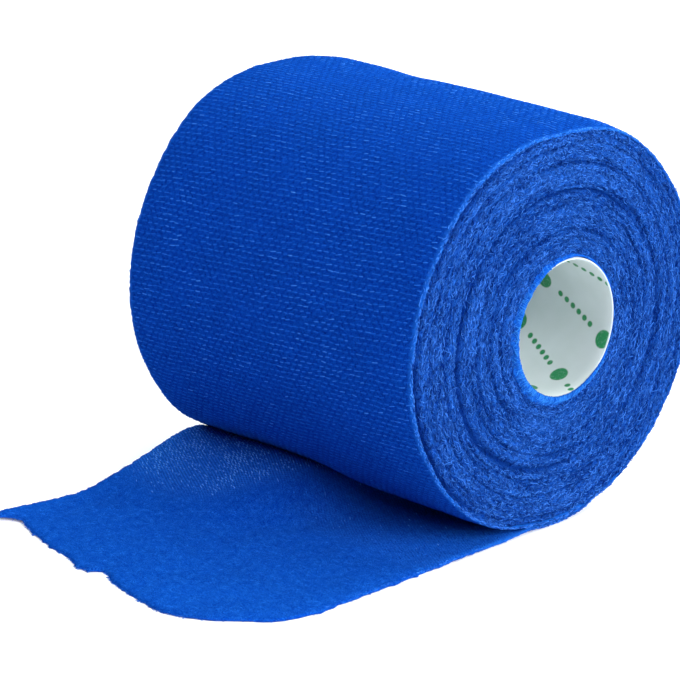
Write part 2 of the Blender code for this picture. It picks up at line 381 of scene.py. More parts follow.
def band_material():
    """Crepe-like band. Its outer face is dark between soft rows of stitches,
    and its other face is felted, with the knit painted lighter on the loose end's hump: a painted highlight of
    the yarn's glint."""
    g = Graph("band_cloth", Roughness=0.95, Sheen_Weight=0.12, Sheen_Roughness=0.5,
              Sheen_Tint=BLUE_SHEEN, Specular_IOR_Level=0.0)
    weave = g.attribute("weave", vector=True)
    show = g.attribute("show")
    u, v, side = g.split(weave)
    back = g.math("MULTIPLY", side, 1.0 / 7.0)

    def lines(pitch_v, pitch_u, tilt):
        """1 on the stitches, 0 between: staggered points on rows."""
        row = g.math("MULTIPLY", g.math("ADD", v, g.math("MULTIPLY", u, tilt)), math.pi / pitch_v)
        spot = g.math("MULTIPLY", g.math("COSINE", row),
                      g.math("COSINE", g.math("MULTIPLY", u, 2.0 * math.pi / pitch_u)))
        wave = g.math("COSINE", g.math("MULTIPLY", row, 2.0))
        return g.math("ADD", g.math("MULTIPLY", spot, 0.5), g.math("MULTIPLY", wave, 0.5))

    face_knit = lines(ROW_PITCH, STITCH_PITCH, ROW_TILT)
    # on the other face, the stitches line up in fine slanting lines
    across = g.math("MULTIPLY", u, 2.0 * math.pi / BACK_STITCH_PITCH)
    down = g.math("MULTIPLY", v, 2.0 * math.pi / BACK_ROW_PITCH)
    back_knit = g.math("ADD", g.math("MULTIPLY", g.math("COSINE", g.math("ADD", across, down)), 0.6),
                       g.math("MULTIPLY", g.math("COSINE", g.math("SUBTRACT", across, down)), 0.4))
    fibre = g.noise(g.scaled(weave, (2.3, 4.6, 1.0)), 1.0, 3.0, 0.7, 0.7)
    grain = g.noise(g.scaled(weave, (5.0, 5.5, 1.0)), 1.0, 2.0, 0.65)
    curls = g.math("MAXIMUM", g.threads(weave, (0.95, 1.25, 1.0), 11.0, 0.060, 2.0),
                   g.threads(weave, (1.7, 2.0, 1.0), 47.0, 0.055, 2.2))
    ticks = g.threads(weave, (1.9, 0.8, 1.0), 83.0, 0.070, 1.2)
    clump = g.noise(g.scaled(weave, (0.55, 0.65, 1.0)), 1.0, 3.0, 0.6)
    cloud = g.noise(g.scaled(weave, (0.10, 0.13, 1.0)), 1.0, 3.0, 0.5)
    tone = g.math("ADD", g.spread(fibre, 0.38, 0.64, -0.06, 0.56), g.spread(grain, 0.36, 0.64, -0.04, 0.44))
    tone = g.math("ADD", tone, g.spread(cloud, 0.3, 0.7, -0.10, 0.14), clamp=True)
    outer = g.mix(tone, (0.0001, 0.005, 0.122), (0.0010, 0.031, 0.405))
    outer = g.mix(g.spread(face_knit, -0.2, 1.0, 0.0, 0.58), outer, (0.0032, 0.067, 0.535))
    fuzz = g.math("MAXIMUM", g.math("MULTIPLY", ticks, g.spread(clump, 0.30, 0.70, 0.22, 0.92)),
                  g.math("MULTIPLY", curls, 0.60))
    outer = g.mix(fuzz, outer, (0.006, 0.100, 0.66))
    felt = g.mix(tone, (0.0002, 0.020, 0.27), (0.0013, 0.070, 0.58))
    curl_share = g.math("MULTIPLY", curls, g.spread(clump, 0.32, 0.68, 0.22, 1.0), clamp=True)
    felt = g.mix(curl_share, felt, (0.016, 0.178, 0.82))
    # painted highlight: where show is high, the felt is lightened and its knit lines drawn lighter and darker,
    # for the yarn's glint on the hump
    felt = g.mix(g.math("MULTIPLY", show, 0.40), felt, (0.020, 0.180, 0.82))
    knit = g.math("MULTIPLY", show, g.spread(back_knit, -1.0, 1.0, -0.76, 0.70))
    felt = g.mix(g.math("MAXIMUM", knit, 0.0), felt, (0.034, 0.235, 0.88))
    felt = g.mix(g.math("MAXIMUM", g.math("MULTIPLY", knit, -1.0), 0.0), felt, (0.0004, 0.018, 0.22))
    colour = g.mix(back, outer, felt)
    # lighter band along the side edges: partly the selvedge, partly a painted highlight along the rounded edge
    # of the wound turn; it is faint on the loose end
    rim = g.math("MULTIPLY", g.attribute("edge"), g.spread(grain, 0.30, 0.60, 0.35, 1.0))
    colour = g.mix(rim, colour, (0.018, 0.165, 0.74))
    g.put(g.bsdf.inputs["Base Color"], colour)
    height = g.math("ADD", g.math("MULTIPLY", fibre, 0.9), g.math("MULTIPLY", grain, 0.5))
    height = g.math("ADD", height, g.math("MULTIPLY", face_knit, 0.12))
    height = g.math("ADD", height, g.math("MULTIPLY", curls, 0.20))
    g.put(g.bsdf.inputs["Normal"], g.bump(height, 0.85, 0.00026))
    return g.mat


def stitch_material(title, light):
    """Floats of yarn on the band, lighter than its ground."""
    g = Graph(title, Roughness=0.85, Sheen_Weight=0.12, Sheen_Roughness=0.45,
              Sheen_Tint=BLUE_SHEEN, Specular_IOR_Level=0.02)
    tone = g.attribute("tone")
    place = g.object_mm()
    fine = g.noise(g.scaled(place, (3.0, 6.0, 6.0)), 1.0, 2.0, 0.6)
    value = g.math("ADD", tone, g.spread(fine, 0.32, 0.68, -0.14, 0.14), clamp=True)
    colour = g.mix(g.spread(value, 0.0, 0.6), (0.0013, 0.045, 0.41), (0.008, 0.114, 0.64))
    colour = g.mix(g.spread(value, 0.6, 1.0), colour, light)
    g.put(g.bsdf.inputs["Base Color"], colour)
    g.put(g.bsdf.inputs["Normal"], g.bump(fine, 0.5, 0.00012))
    return g.mat


def winding_material():
    """The felted edges of the turns: dark between the fibres, with painted shade in the grooves."""
    g = Graph("winding_felt", Roughness=0.95, Sheen_Weight=0.08, Sheen_Roughness=0.5,
              Sheen_Tint=BLUE_SHEEN, Specular_IOR_Level=0.0)
    ring = g.attribute("ring", vector=True)
    streak = g.noise(g.scaled(ring, (0.9, 0.9, 3.4)), 1.0, 4.0, 0.7, 0.8)
    tuft = g.noise(g.scaled(ring, (0.5, 0.5, 1.2)), 1.0, 3.0, 0.6)
    grain = g.noise(g.scaled(ring, (4.2, 4.2, 5.0)), 1.0, 2.0, 0.65)
    lines = g.math("MAXIMUM", g.threads(ring, (0.50, 0.50, 1.9), 3.0, 0.075, 1.2),
                   g.threads(ring, (0.85, 0.85, 2.6), 29.0, 0.070, 1.4))
    lines = g.math("MAXIMUM", lines, g.math("MULTIPLY", g.threads(ring, (1.3, 1.3, 1.6), 61.0, 0.06, 1.8), 0.8))
    tone = g.math("ADD", g.spread(streak, 0.38, 0.64, 0.0, 0.55), g.spread(tuft, 0.36, 0.64, -0.14, 0.22))
    tone = g.math("ADD", tone, g.spread(grain, 0.34, 0.66, -0.10, 0.30), clamp=True)
    depth = g.attribute("groove_shade")
    tone = g.math("ADD", tone, g.math("MULTIPLY", g.attribute("shade"), 0.32), clamp=True)
    colour = g.mix(tone, (0.0004, 0.012, 0.155), (0.004, 0.056, 0.42))
    lit = g.math("MULTIPLY", lines, g.spread(g.attribute("shade"), -0.7, 0.7, 0.30, 0.72))
    colour = g.mix(lit, colour, (0.034, 0.185, 0.78))
    # painted shade: the colour is darkened in the grooves of the end faces and on the sides of the winding under
    # the band
    colour = g.mix(g.math("MULTIPLY", depth, 0.78), colour, (0.0004, 0.010, 0.145))
    g.put(g.bsdf.inputs["Base Color"], colour)
    height = g.math("ADD", g.math("MULTIPLY", streak, 0.8), g.math("MULTIPLY", grain, 0.5))
    height = g.math("ADD", height, g.math("MULTIPLY", lines, 0.45))
    g.put(g.bsdf.inputs["Normal"], g.bump(height, 0.9, 0.0003))
    return g.mat


def fibre_material(name, dark, light):
    """Single fibres and tufts; `tone` runs from dark to light."""
    g = Graph(name, Roughness=0.85, Sheen_Weight=0.10, Sheen_Roughness=0.45,
              Sheen_Tint=BLUE_SHEEN, Specular_IOR_Level=0.02)
    tone = g.attribute("tone")
    place = g.object_mm()
    fine = g.noise(place, 2.6, 2.0, 0.6)
    value = g.math("ADD", tone, g.spread(fine, 0.3, 0.7, -0.12, 0.12), clamp=True)
    g.put(g.bsdf.inputs["Base Color"], g.mix(value, dark, light))
    g.put(g.bsdf.inputs["Normal"], g.bump(fine, 0.25, 0.0001))
    return g.mat


def tube_material():
    """White coated card with plain round printed dots in slanting rows."""
    g = Graph("tube_card", Roughness=0.42, Specular_IOR_Level=0.45,
              Coat_Weight=0.12, Coat_Roughness=0.3)
    polar = g.attribute("polar", vector=True)
    x, arc, inside = g.split(polar)
    fine = g.noise(g.scaled(polar, (1.6, 1.6, 1.0)), 1.0, 3.0, 0.6)
    wide = g.noise(g.scaled(polar, (0.12, 0.12, 1.0)), 1.0, 2.0, 0.5)
    colour = g.mix(g.spread(wide, 0.3, 0.7), (0.565, 0.635, 0.66), (0.64, 0.70, 0.745))
    # slanting rows of dots: turn the sheet's coordinates, then repeat
    slant = math.radians(28.0)
    p = g.math("ADD", g.math("MULTIPLY", x, math.cos(slant)), g.math("MULTIPLY", arc, math.sin(slant)))
    q = g.math("SUBTRACT", g.math("MULTIPLY", arc, math.cos(slant)), g.math("MULTIPLY", x, math.sin(slant)))

    def dots(shift_p, shift_q, pitch_p, pitch_q, radius):
        a = g.math("PINGPONG", g.math("ADD", p, shift_p), pitch_p / 2.0)
        b = g.math("PINGPONG", g.math("ADD", q, shift_q), pitch_q / 2.0)
        far = g.math("SQRT", g.math("ADD", g.math("MULTIPLY", a, a), g.math("MULTIPLY", b, b)))
        return g.spread(far, radius - 0.12, radius + 0.12, 1.0, 0.0)

    # small dots in sixes, and one larger dot between the sixes
    small = dots(0.0, 0.0, 1.9, 11.5, 0.62)
    window = g.math("GREATER_THAN", g.math("PINGPONG", g.math("ADD", p, 0.95), 9.5), 3.8)
    small = g.math("MULTIPLY", small, window)
    large = dots(0.95, 0.0, 19.0, 11.5, 1.9)
    ink = g.math("MAXIMUM", small, large)
    ink = g.math("MULTIPLY", ink, inside)
    ink = g.math("MULTIPLY", ink, g.spread(fine, 0.2, 0.5, 0.75, 1.0))
    # painted blue cast: the tube's ends and outside are greyer and bluer than its inside, for the blue light the
    # cloth throws on its rim
    rim = g.math("SUBTRACT", 1.0, inside)
    colour = g.mix(rim, colour, (0.42, 0.50, 0.60))
    colour = g.mix(ink, colour, (0.008, 0.22, 0.075))
    g.put(g.bsdf.inputs["Base Color"], colour)
    g.put(g.bsdf.inputs["Roughness"], g.spread(fine, 0.3, 0.7, 0.36, 0.5))
    g.put(g.bsdf.inputs["Normal"], g.bump(fine, 0.12, 0.0001))
    return g.mat


# ------------------------------------------------------------------- the band
_, outline_table = tabulate(OUTLINE, 1, 0.0, 360.0, 0.5)
_, leave_table = tabulate(LOOSE, 1, -40.0, 40.0, 0.25)


def outline(phi):
    return np.interp(np.mod(phi, 360.0), np.arange(len(outline_table)) * 0.5, outline_table)


def leave_at(u):
    return np.interp(u, np.arange(len(leave_table)) * 0.25 - 40.0, leave_table)


swell_noise = lattice(11, 9, 7)
dent_noise = lattice(12, 34, 20)


def swell(u, phi):
    """How much the outermost turn stands proud of the plain outline."""
    phi = np.mod(phi, 360.0)
    top = np.exp(-((phi - 203.0) / 24.0) ** 2)
    dip = np.exp(-((u + 15.0) / 6.5) ** 2)
    edge = smooth((np.abs(u) - 33.5) / 6.5)
    out = top * (0.50 * (1.0 - edge) - 0.36 * dip - 0.15 * edge)
    out = out - 0.22 * edge * (1.0 - top) - 0.10 * smooth((np.abs(u) - 39.0) / 1.0)
    p, q = phi / 360.0, (u + 40.0) / 80.0
    return out + 0.10 * swell_noise(p, q) + 0.035 * dent_noise(p, q)


def turn_radius(theta, u):
    """Outside radius of the wound stretch at the running angle theta, which
    goes from about 35 at the loose end down to TURN_END, one turn and a bit."""
    r = outline(theta)
    r = np.where(theta > -30.0, r + (WRAP - r) * smooth((theta + 30.0) / 14.0), r)
    wrapped = smooth((theta + 22.0) / 14.0)
    free = leave_at(u) - 360.0
    slip = smooth((free + 16.0 - theta) / 14.0)
    out = r + swell(u, theta) * (1.0 - wrapped) * (1.0 - slip)
    out = out + (UNDER - out) * slip
    return np.where(theta > -22.0, np.minimum(out, WRAP), out)


edge_wobble = lattice(21, 60, 1)
edge_wobble_fine = lattice(22, 210, 1)
free_wobble = lattice(23, 26, 1, wrap=False)
free_wobble_fine = lattice(24, 84, 1, wrap=False)


def free_path(x, count):
    """Middle of the free cloth from the place where it leaves the roll to its
    cut end, as points that are evenly spaced along it."""
    leave, toe, up, out = (read_table(LOOSE, c, x) for c in (1, 2, 3, 4))
    a = math.radians(leave)
    mid = WRAP - CLOTH / 2.0
    y0, z0 = -mid * math.sin(a), AXIS_HEIGHT - mid * math.cos(a)
    lift = read_table(CUT_END, 2, x)
    far = FAR_LIFT * float(smooth((FAR_LIFT_WIDTH - x - 40.0) / FAR_LIFT_WIDTH))
    z1 = CLOTH / 2.0 + far
    t = np.linspace(0.0, 1.0, 60)
    y = ((2 * t ** 3 - 3 * t ** 2 + 1) * y0 - (t ** 3 - 2 * t ** 2 + t) * up * math.cos(a)
         + (3 * t ** 2 - 2 * t ** 3) * toe - (t ** 3 - t ** 2) * out)
    z = ((2 * t ** 3 - 3 * t ** 2 + 1) * z0 + (t ** 3 - 2 * t ** 2 + t) * up * math.sin(a)
         + (3 * t ** 2 - 2 * t ** 3) * z1)
    xs = np.full(60, x)
    # flat stretch, fanned out a little towards the far tip
    end_x = read_table(SPREAD, 1, x)
    end_y = read_table(CUT_END, 1, end_x)
    s = np.linspace(0.0, 1.0, 41)[1:]
    y = np.concatenate([y, toe + (end_y - toe) * s])
    z = np.concatenate([z, z1 + lift * 0.8 * smooth(s)])
    xs = np.concatenate([xs, x + smooth(s) * (end_x - x)])
    points = np.stack([xs, y, z], axis=1)
    points[:, 2] = np.maximum(points[:, 2], CLOTH / 2.0)
    step = np.linalg.norm(np.diff(points, axis=0), axis=1)
    length = np.concatenate([[0.0], np.cumsum(step)])
    at = np.linspace(0.0, length[-1], count)
    return np.stack([np.interp(at, length, points[:, k]) for k in range(3)], axis=1), length[-1]


def band_columns():
    inner = np.linspace(-38.8, 38.8, 79)
    return np.concatenate([[-40.0, -39.93, -39.75, -39.4], inner, [39.4, 39.75, 39.93, 40.0]])


FREE_ROWS = 132
TURN_ROWS = 330
V_PER_DEGREE = math.radians(1.0) * 41.0


def build_band_grid():
    """Middle surface of the whole band: points, running length and columns."""
    us = band_columns()
    rows = FREE_ROWS + TURN_ROWS
    grid = np.zeros((len(us), rows, 3))
    length = np.zeros((len(us), rows))
    for i, u in enumerate(us):
        x = min(max(u, -40.0), 39.6)
        path, total = free_path(x, FREE_ROWS)
        path[:, 0] += u - x
        run = np.linspace(0.0, total, FREE_ROWS) / 110.0
        path[:, 0] += smooth((abs(u) - 34.0) / 6.0) * smooth(run * 8.0) * (
            0.16 * free_wobble(run, 0.0 if u < 0 else 1.0) + 0.10 * free_wobble_fine(run, 0.0 if u < 0 else 1.0))
        leave = float(leave_at(x))
        grid[i, :FREE_ROWS] = path[::-1]
        v0 = -leave * V_PER_DEGREE
        length[i, :FREE_ROWS] = v0 - np.linspace(total, 0.0, FREE_ROWS)
        theta = leave + (TURN_END - leave) * np.arange(1, TURN_ROWS + 1) / TURN_ROWS
        r = turn_radius(theta, u) - CLOTH / 2.0
        dy, dz = around(theta)
        wob = 0.17 * edge_wobble(np.mod(theta, 360.0) / 360.0, 0.0 if u < 0 else 1.0) \
            + 0.13 * edge_wobble_fine(np.mod(theta, 360.0) / 360.0, 0.0 if u < 0 else 1.0)
        grid[i, FREE_ROWS:, 0] = u + wob * smooth((abs(u) - 34.0) / 6.0)
        grid[i, FREE_ROWS:, 1] = r * dy
        grid[i, FREE_ROWS:, 2] = np.maximum(AXIS_HEIGHT + r * dz, CLOTH / 2.0)
        length[i, FREE_ROWS:] = -theta * V_PER_DEGREE
    return us, grid, length


def grid_normals(grid):
    """Normals of the middle surface, towards the outside of the band."""
    du = np.gradient(grid, axis=0)
    dv = np.gradient(grid, axis=1)
    n = unit(np.cross(du, dv))
    return n


us, grid, length = build_band_grid()

# soft unevenness of the free cloth, none at its ends
rng = np.random.default_rng(5)
free_bumps = lattice(31, 14, 9, wrap=False)
free_fine = lattice(32, 60, 46, wrap=False)
w = np.zeros(grid.shape[:2])
p = (us[:, None] + 40.0) / 80.0
q = np.clip((length + 125.0) / 110.0, 0.0, 1.0)
fade = smooth((length[:, :] * 0.0 + np.arange(grid.shape[1])[None, :]) / 10.0) \
    * smooth((FREE_ROWS - 8.0 - np.arange(grid.shape[1])[None, :]) / 25.0)
w = fade * (0.16 + 0.16 * free_bumps(p, q) + 0.05 * free_fine(p, q))
grid[..., 2] += np.maximum(w, 0.0)

# its side edges run unevenly
uneven = lattice(43, 62, 2, wrap=False)
uneven_fine = lattice(44, 130, 2, wrap=False)
side = np.broadcast_to((us[:, None] > 0.0) * 1.0, q.shape)
pull = (0.24 * uneven(q, side) + 0.15 * uneven_fine(q, side)) * np.sign(us)[:, None]
grid[..., 0] += pull * smooth((np.abs(us) - 37.6) / 2.4)[:, None] * smooth((-14.0 - length) / 12.0)

# the cut end is ragged: the last rows are pulled in and out
ragged = lattice(41, 75, 1, wrap=False)
ragged_fine = lattice(42, 150, 1, wrap=False)
pull = 0.30 * ragged(p, 0.0) + 0.16 * ragged_fine(p, 0.0)
near_cut = smooth(1.0 - np.arange(grid.shape[1])[None, :] / 5.0)
grid[..., 1] += pull * near_cut

normals = grid_normals(grid)
# the gradient jumps where rows change spacing; that doesn't turn the normals
outer_side = np.sign(normals[len(us) // 2, FREE_ROWS + 60] @ np.array([0.0, *around(
    float(leave_at(0.0)) + (TURN_END - float(leave_at(0.0))) * 61 / TURN_ROWS)]))
normals = normals * outer_side


def edge_thin(d, width):
    """Share of the full thickness at distance d from an edge."""
    return np.sqrt(np.clip(1.0 - (1.0 - np.clip(d / width, 0.0, 1.0)) ** 2, 0.03, 1.0))


from_side = 40.0 - np.abs(us)[:, None]
from_cut = np.cumsum(np.concatenate([np.zeros((len(us), 1)), np.linalg.norm(
    np.diff(grid, axis=1), axis=2)], axis=1), axis=1)
# the free stretch thins out towards its edges and stays on the surface there
loose = smooth((FREE_ROWS - 6.0 - np.arange(grid.shape[1])[None, :]) / 16.0)
thin = edge_thin(from_side + 0.02, 0.55 + 1.2 * loose) * edge_thin(from_cut + 0.03, 1.5)
thick = CLOTH / 2.0 * thin
settle = (CLOTH / 2.0 - thick) * loose
outer = grid + normals * (thick + settle)[..., None]
inner = grid - normals * (thick - settle)[..., None]
outer[..., 2] = np.maximum(outer[..., 2], 0.01)
inner[..., 2] = np.maximum(inner[..., 2], 0.01)

nu, nv = grid.shape[:2]


def sheet_faces(nu, nv):
    """Quads of a closed sheet of two nu by nv skins, outer first."""
    idx = np.arange(nu * nv).reshape(nu, nv)
    a, b, c, d = idx[:-1, :-1], idx[1:, :-1], idx[1:, 1:], idx[:-1, 1:]
    top = np.stack([a, b, c, d], axis=-1).reshape(-1, 4)
    low = np.stack([a, d, c, b], axis=-1).reshape(-1, 4) + nu * nv
    off = nu * nv

    def strip(line):
        return np.stack([line[1:], line[:-1], line[:-1] + off, line[1:] + off], axis=-1)
    sides = np.concatenate([
        strip(idx[:, 0]), strip(idx[::-1, -1]), strip(idx[-1, :]), strip(idx[0, ::-1])])
    return np.concatenate([top, low, sides])


verts = np.concatenate([outer.reshape(-1, 3), inner.reshape(-1, 3)])
faces = sheet_faces(nu, nv)


def volume(points, *groups):
    """Enclosed volume, by the sign of which a mesh's faces are turned out."""
    total = 0.0
    for group in groups:
        corners = [points[group[:, k]] for k in range(group.shape[1])]
        for k in range(1, len(corners) - 1):
            total += np.einsum("ij,ij->i", corners[0], np.cross(corners[k], corners[k + 1])).sum() / 6.0
    return total


if volume(verts, faces) < 0.0:
    faces = faces[:, ::-1]

# rows and columns of the knit wander a little
drift_v_noise = lattice(101, 30, 8, wrap=False)
drift_u_noise = lattice(102, 24, 10, wrap=False)


def drift(u, v):
    pv, pu = (v + 130.0) / 400.0, (u + 42.0) / 84.0
    return 0.35 * drift_u_noise(pv, pu), 0.30 * drift_v_noise(pv, pu)


# where the painted highlight of the knit's glint on the hump begins, along the band
KNIT_GLINT = (
    # u,    painted glint from v
    (-40.0, -45.0), (-34.0, -47.0), (-25.0, -49.5), (-15.0, -47.5), (-8.0, -39.5), (0.0, -29.5),
)
_, knit_glint_table = tabulate(KNIT_GLINT, 1, -40.0, 0.0, 0.5)


def knit_shows(u, v):
    """How strongly the knit is painted lighter on the upper face of the loose end,
    as a painted highlight of the yarn's glint: clearly on its hump, faintly in front of the roll, hardly on the
    flat stretch."""
    low = np.interp(u, np.arange(len(knit_glint_table)) * 0.5 - 40.0, knit_glint_table)
    hump = smooth((v - low + 4.0) / 12.0) * smooth((-15.0 - v) / 9.0) * smooth((3.0 - u) / 9.0)
    front = smooth((u + 3.0) / 9.0) * smooth((v + 42.0) / 9.0) * smooth((-9.0 - v) / 5.0)
    return np.clip(hump + 0.24 * front, 0.0, 1.0)


weave = np.zeros((nu, nv, 3))
shift_u, shift_v = drift(us[:, None] + 0.0 * length, length)
weave[..., 0] = us[:, None] - shift_u
weave[..., 1] = length - shift_v
weave_outer, weave_inner = weave.copy(), weave.copy()
weave_inner[..., 2] = 7.0
# show: how strongly the painted highlight of the knit's glint lies on each point; 1 on the outer skin, where it
# is not read
show = np.concatenate([np.ones(nu * nv), knit_shows(us[:, None] + 0.0 * length, length).ravel()])
# edge: lighter selvedge band, partly a painted highlight along the wound turn's rounded edge, kept faint on the
# loose end
edge = smooth((np.abs(us)[:, None] - 39.05) / 0.6) * np.where(length > -20.0, 0.62, 0.05)
cloth = band_material()
band = make_piece("band", verts, [faces], cloth,
                  [("weave", np.concatenate([weave_outer.reshape(-1, 3), weave_inner.reshape(-1, 3)])),
                   ("show", show), ("edge", np.tile(edge.ravel(), 2))])
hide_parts("loose_end")

# ------------------------------------- even reading of the band's two skins
V_STEP = 0.4
v_low, v_high = float(length.min()), float(length[:, -1].min())
v_even = np.arange(v_low, v_high, V_STEP)


def even(field):
    return np.stack([np.stack([np.interp(v_even, length[i], field[i, :, k]) for k in range(3)], axis=1)
                     for i in range(nu)])


even_outer, even_inner, even_normal = even(outer), even(inner), even(normals)


def on_band(u, v, skin):
    """Points and outward normals on a skin of the band."""
    i = np.clip(np.interp(u, us, np.arange(nu)), 0, nu - 1.001)
    j = np.clip((v - v_low) / V_STEP, 0, len(v_even) - 1.001)
    i0, j0 = i.astype(int), j.astype(int)
    fi, fj = (i - i0)[:, None], (j - j0)[:, None]

    def read(f):
        return ((f[i0, j0] * (1 - fi) + f[i0 + 1, j0] * fi) * (1 - fj)
                + (f[i0, j0 + 1] * (1 - fi) + f[i0 + 1, j0 + 1] * fi) * fj)
    n = unit(read(even_normal))
    if skin == "outer":
        return read(even_outer), n
    return read(even_inner), -n


def cut_at(u):
    """Running length at which the cloth is cut, at a place across the band."""
    return np.interp(u, us, length[:, 0])


# --------------------------------------------------------------- the stitches
def stitch_field(v_from, v_to, skin, seed):
    """Floats of yarn in staggered rows between two running lengths."""
    rng = np.random.default_rng(seed)
    back = skin == "inner"
    pitch_v, pitch_u = (BACK_ROW_PITCH, BACK_STITCH_PITCH) if back else (ROW_PITCH, STITCH_PITCH)
    rows = np.arange(math.floor(v_from / pitch_v) - 4, math.ceil(v_to / pitch_v) + 5)
    reach = round(42.0 / pitch_u)
    cols = np.arange(-reach, reach + 1)
    r, c = np.meshgrid(rows, cols, indexing="ij")
    u = (c + 0.5 * (r % 2)) * pitch_u
    v = r * pitch_v - u * (0.0 if back else ROW_TILT)
    u, v = u.ravel(), v.ravel()
    shift_u, shift_v = drift(u, v)
    v = v + shift_v + rng.normal(0.0, 0.06 if back else 0.08, len(v))
    u = u + shift_u + rng.normal(0.0, 0.12 if back else 0.16, len(u))
    keep = (np.abs(u) < 39.1) & (v > v_from) & (v < v_to) & (v > cut_at(u) + 0.8)
    keep &= rng.random(len(u)) > 0.03
    if back:
        keep &= knit_shows(u, v) > 0.10 + 0.34 * rng.random(len(u))
    u, v = u[keep], v[keep]
    n = len(u)
    patch = lattice(seed + 3, 70, 22, wrap=False)((v + 130.0) / 400.0, (u + 42.0) / 84.0)
    broad = lattice(seed + 4, 16, 5, wrap=False)((v + 130.0) / 400.0, (u + 42.0) / 84.0)
    strength = np.clip(0.80 + 0.26 * patch + 0.14 * broad + rng.normal(0.0, 0.20, n), 0.1, 1.4)
    if back:
        strength = np.clip(strength, 0.4, 1.2) * knit_shows(u, v)
        half = 0.38 * np.clip(1.0 + rng.normal(0.0, 0.35, n), 0.4, 1.7)
        slant = BACK_SLANT + rng.normal(0.0, 0.16, n)
        lift, radius = 0.035, 0.095 + 0.030 * strength
        # the back stitches are lighter where the knit's glint is painted: a painted highlight
        tone = 0.16 + 0.78 * strength + rng.normal(0.0, 0.22, n)
    else:
        # underneath, the outer face is flattened and its rows are fainter; the lower tone also makes its
        # stitches darker there, which is painted shade on the roll's underside
        strength = strength * (0.50 + 0.50 * smooth((360.0 - v / V_PER_DEGREE - 38.0) / 30.0))
        half = 0.70 * np.clip(1.0 + rng.normal(0.0, 0.18, n), 0.5, 1.3)
        slant = STITCH_SLANT + rng.normal(0.0, 0.10, n)
        lift, radius = 0.005, 0.115 + 0.035 * strength
        tone = 0.16 + 0.44 * strength + rng.normal(0.0, 0.10, n)
    points = np.zeros((n, 4, 3))
    for k, share in enumerate((-1.0, -0.78, 0.78, 1.0)):
        uu = u + half * share * np.cos(slant)
        vv = v + half * share * np.sin(slant)
        pos, nor = on_band(uu, vv, skin)
        rise = lift if abs(share) < 0.9 else -0.05
        points[:, k] = pos + nor * rise
        if k == 1:
            up = nor
    radii = np.zeros((n, 4))
    radii[:, 1:3] = radius[:, None]
    verts, faces, station = strands(points, radii, up, flat=0.5)
    fade = np.array([-0.25, 0.0, 0.0, -0.25])[station]
    tones = np.clip(tone[:, None] + fade[None, :], 0.0, 1.0)
    return verts, faces, tones.ravel()


yarn = stitch_material("stitch_yarn", (0.050, 0.255, 0.86))
# the back stitches' light colour carries the painted highlight of the glint on the hump
yarn_back = stitch_material("stitch_yarn_back", (0.110, 0.390, 0.95))
start = float(-leave_at(0.0) * V_PER_DEGREE)
v, f, tone = stitch_field(-6.0, 354.0 * V_PER_DEGREE, "outer", 100)
knit_turn = make_piece("knit_turn", v, [f], yarn, [("tone", tone)])

v, f, tone = stitch_field(v_low, -6.0, "inner", 200)
knit_loose = make_piece("knit_loose", v, [f], yarn_back, [("tone", tone)])


# ------------------------------------------------------------ the wound turns
NEAR_STEPS, NEAR_RINGS = 400, 192     # towards the camera
FAR_STEPS, FAR_RINGS = 200, 88


def column(table, k):
    return tabulate(table, k, 0.0, 360.0, 1.0)[1]


main_r, main_d, main_w = (column(MAIN_GROOVE, k) for k in (1, 2, 3))
gap_r, gap_d, gap_w = (column(RIM_GAP, k) for k in (1, 2, 3))
main_d, main_w, gap_d = main_d * 0.75, main_w * 1.25, gap_d * 0.85


class EndFace:
    """The relief of one end of the winding: 0 at its mean plane, negative in
    its grooves. `turned` turns the pattern, so that both ends differ."""

    def __init__(self, seed, turned):
        self.turned = turned
        rng = np.random.default_rng(seed)
        rows = [[m, span, r, 1.25 * d, w] for m, span, r, d, w in FURROWS]
        for r in np.arange(16.4, 39.0, 1.05):
            rows.append([rng.uniform(0, 360), rng.uniform(35, 110), r + rng.uniform(-0.35, 0.35),
                         rng.uniform(0.12, 0.38), rng.uniform(0.16, 0.30)])
        self.rows = rows
        self.wander = lattice(seed + 1, 14, 10)
        self.wander_fine = lattice(seed + 2, 60, 24)
        self.tuft = lattice(seed + 3, 150, 56)
        self.fine = lattice(seed + 4, 380, 100)
        self.level = lattice(seed + 5, 5, 13)
        self.patch = lattice(seed + 6, 26, 9)
        self.turn = lattice(seed + 7, 30, 31)
        self.bundle = lattice(seed + 8, 14, 14)

    def read(self, phi, r):
        """Height, and how far a place lies in a groove, 0 to 1."""
        a = np.mod(phi + self.turned, 360.0)
        p, q = a / 360.0, np.clip((r - WINDING_INNER) / 26.5, 0.0, 1.0)
        rr = r + 0.26 * self.wander(p, q) + 0.12 * self.wander_fine(p, q)
        deep = np.zeros(np.shape(rr))

        def groove(at, depth, half):
            return depth * np.exp(-np.abs((rr - at) / half) ** 2.0)
        k = np.arange(361.0)
        deep = deep + groove(np.interp(a, k, main_r), np.interp(a, k, main_d), np.interp(a, k, main_w))
        deep = deep + groove(np.interp(a, k, gap_r), np.interp(a, k, gap_d), np.interp(a, k, gap_w))
        for mid, span, at, depth, half in self.rows:
            d = np.abs(np.mod(a - mid + 180.0, 360.0) - 180.0)
            deep = deep + groove(at, depth, half) * smooth((span - d) / (0.45 * span))
        qq = np.clip((rr - WINDING_INNER) / 26.5, 0.0, 1.0)
        level = 0.14 * self.level(p, q) + 0.13 * self.turn(p, qq) + 0.12 * self.bundle(p, qq)
        rough = 0.12 * self.tuft(p, q) + 0.10 * self.fine(p, q)
        return level + rough - deep, np.clip(deep / 0.75, 0.0, 1.0)

    def shade(self, phi, r):
        """Tone of the fibres by turns and patches, about -1 to 1."""
        a = np.mod(phi + self.turned, 360.0)
        p, q = a / 360.0, np.clip((r - WINDING_INNER) / 26.5, 0.0, 1.0)
        return 0.50 * self.turn(p, q) + 0.22 * self.bundle(p, q) + 0.14 * self.patch(p, q)


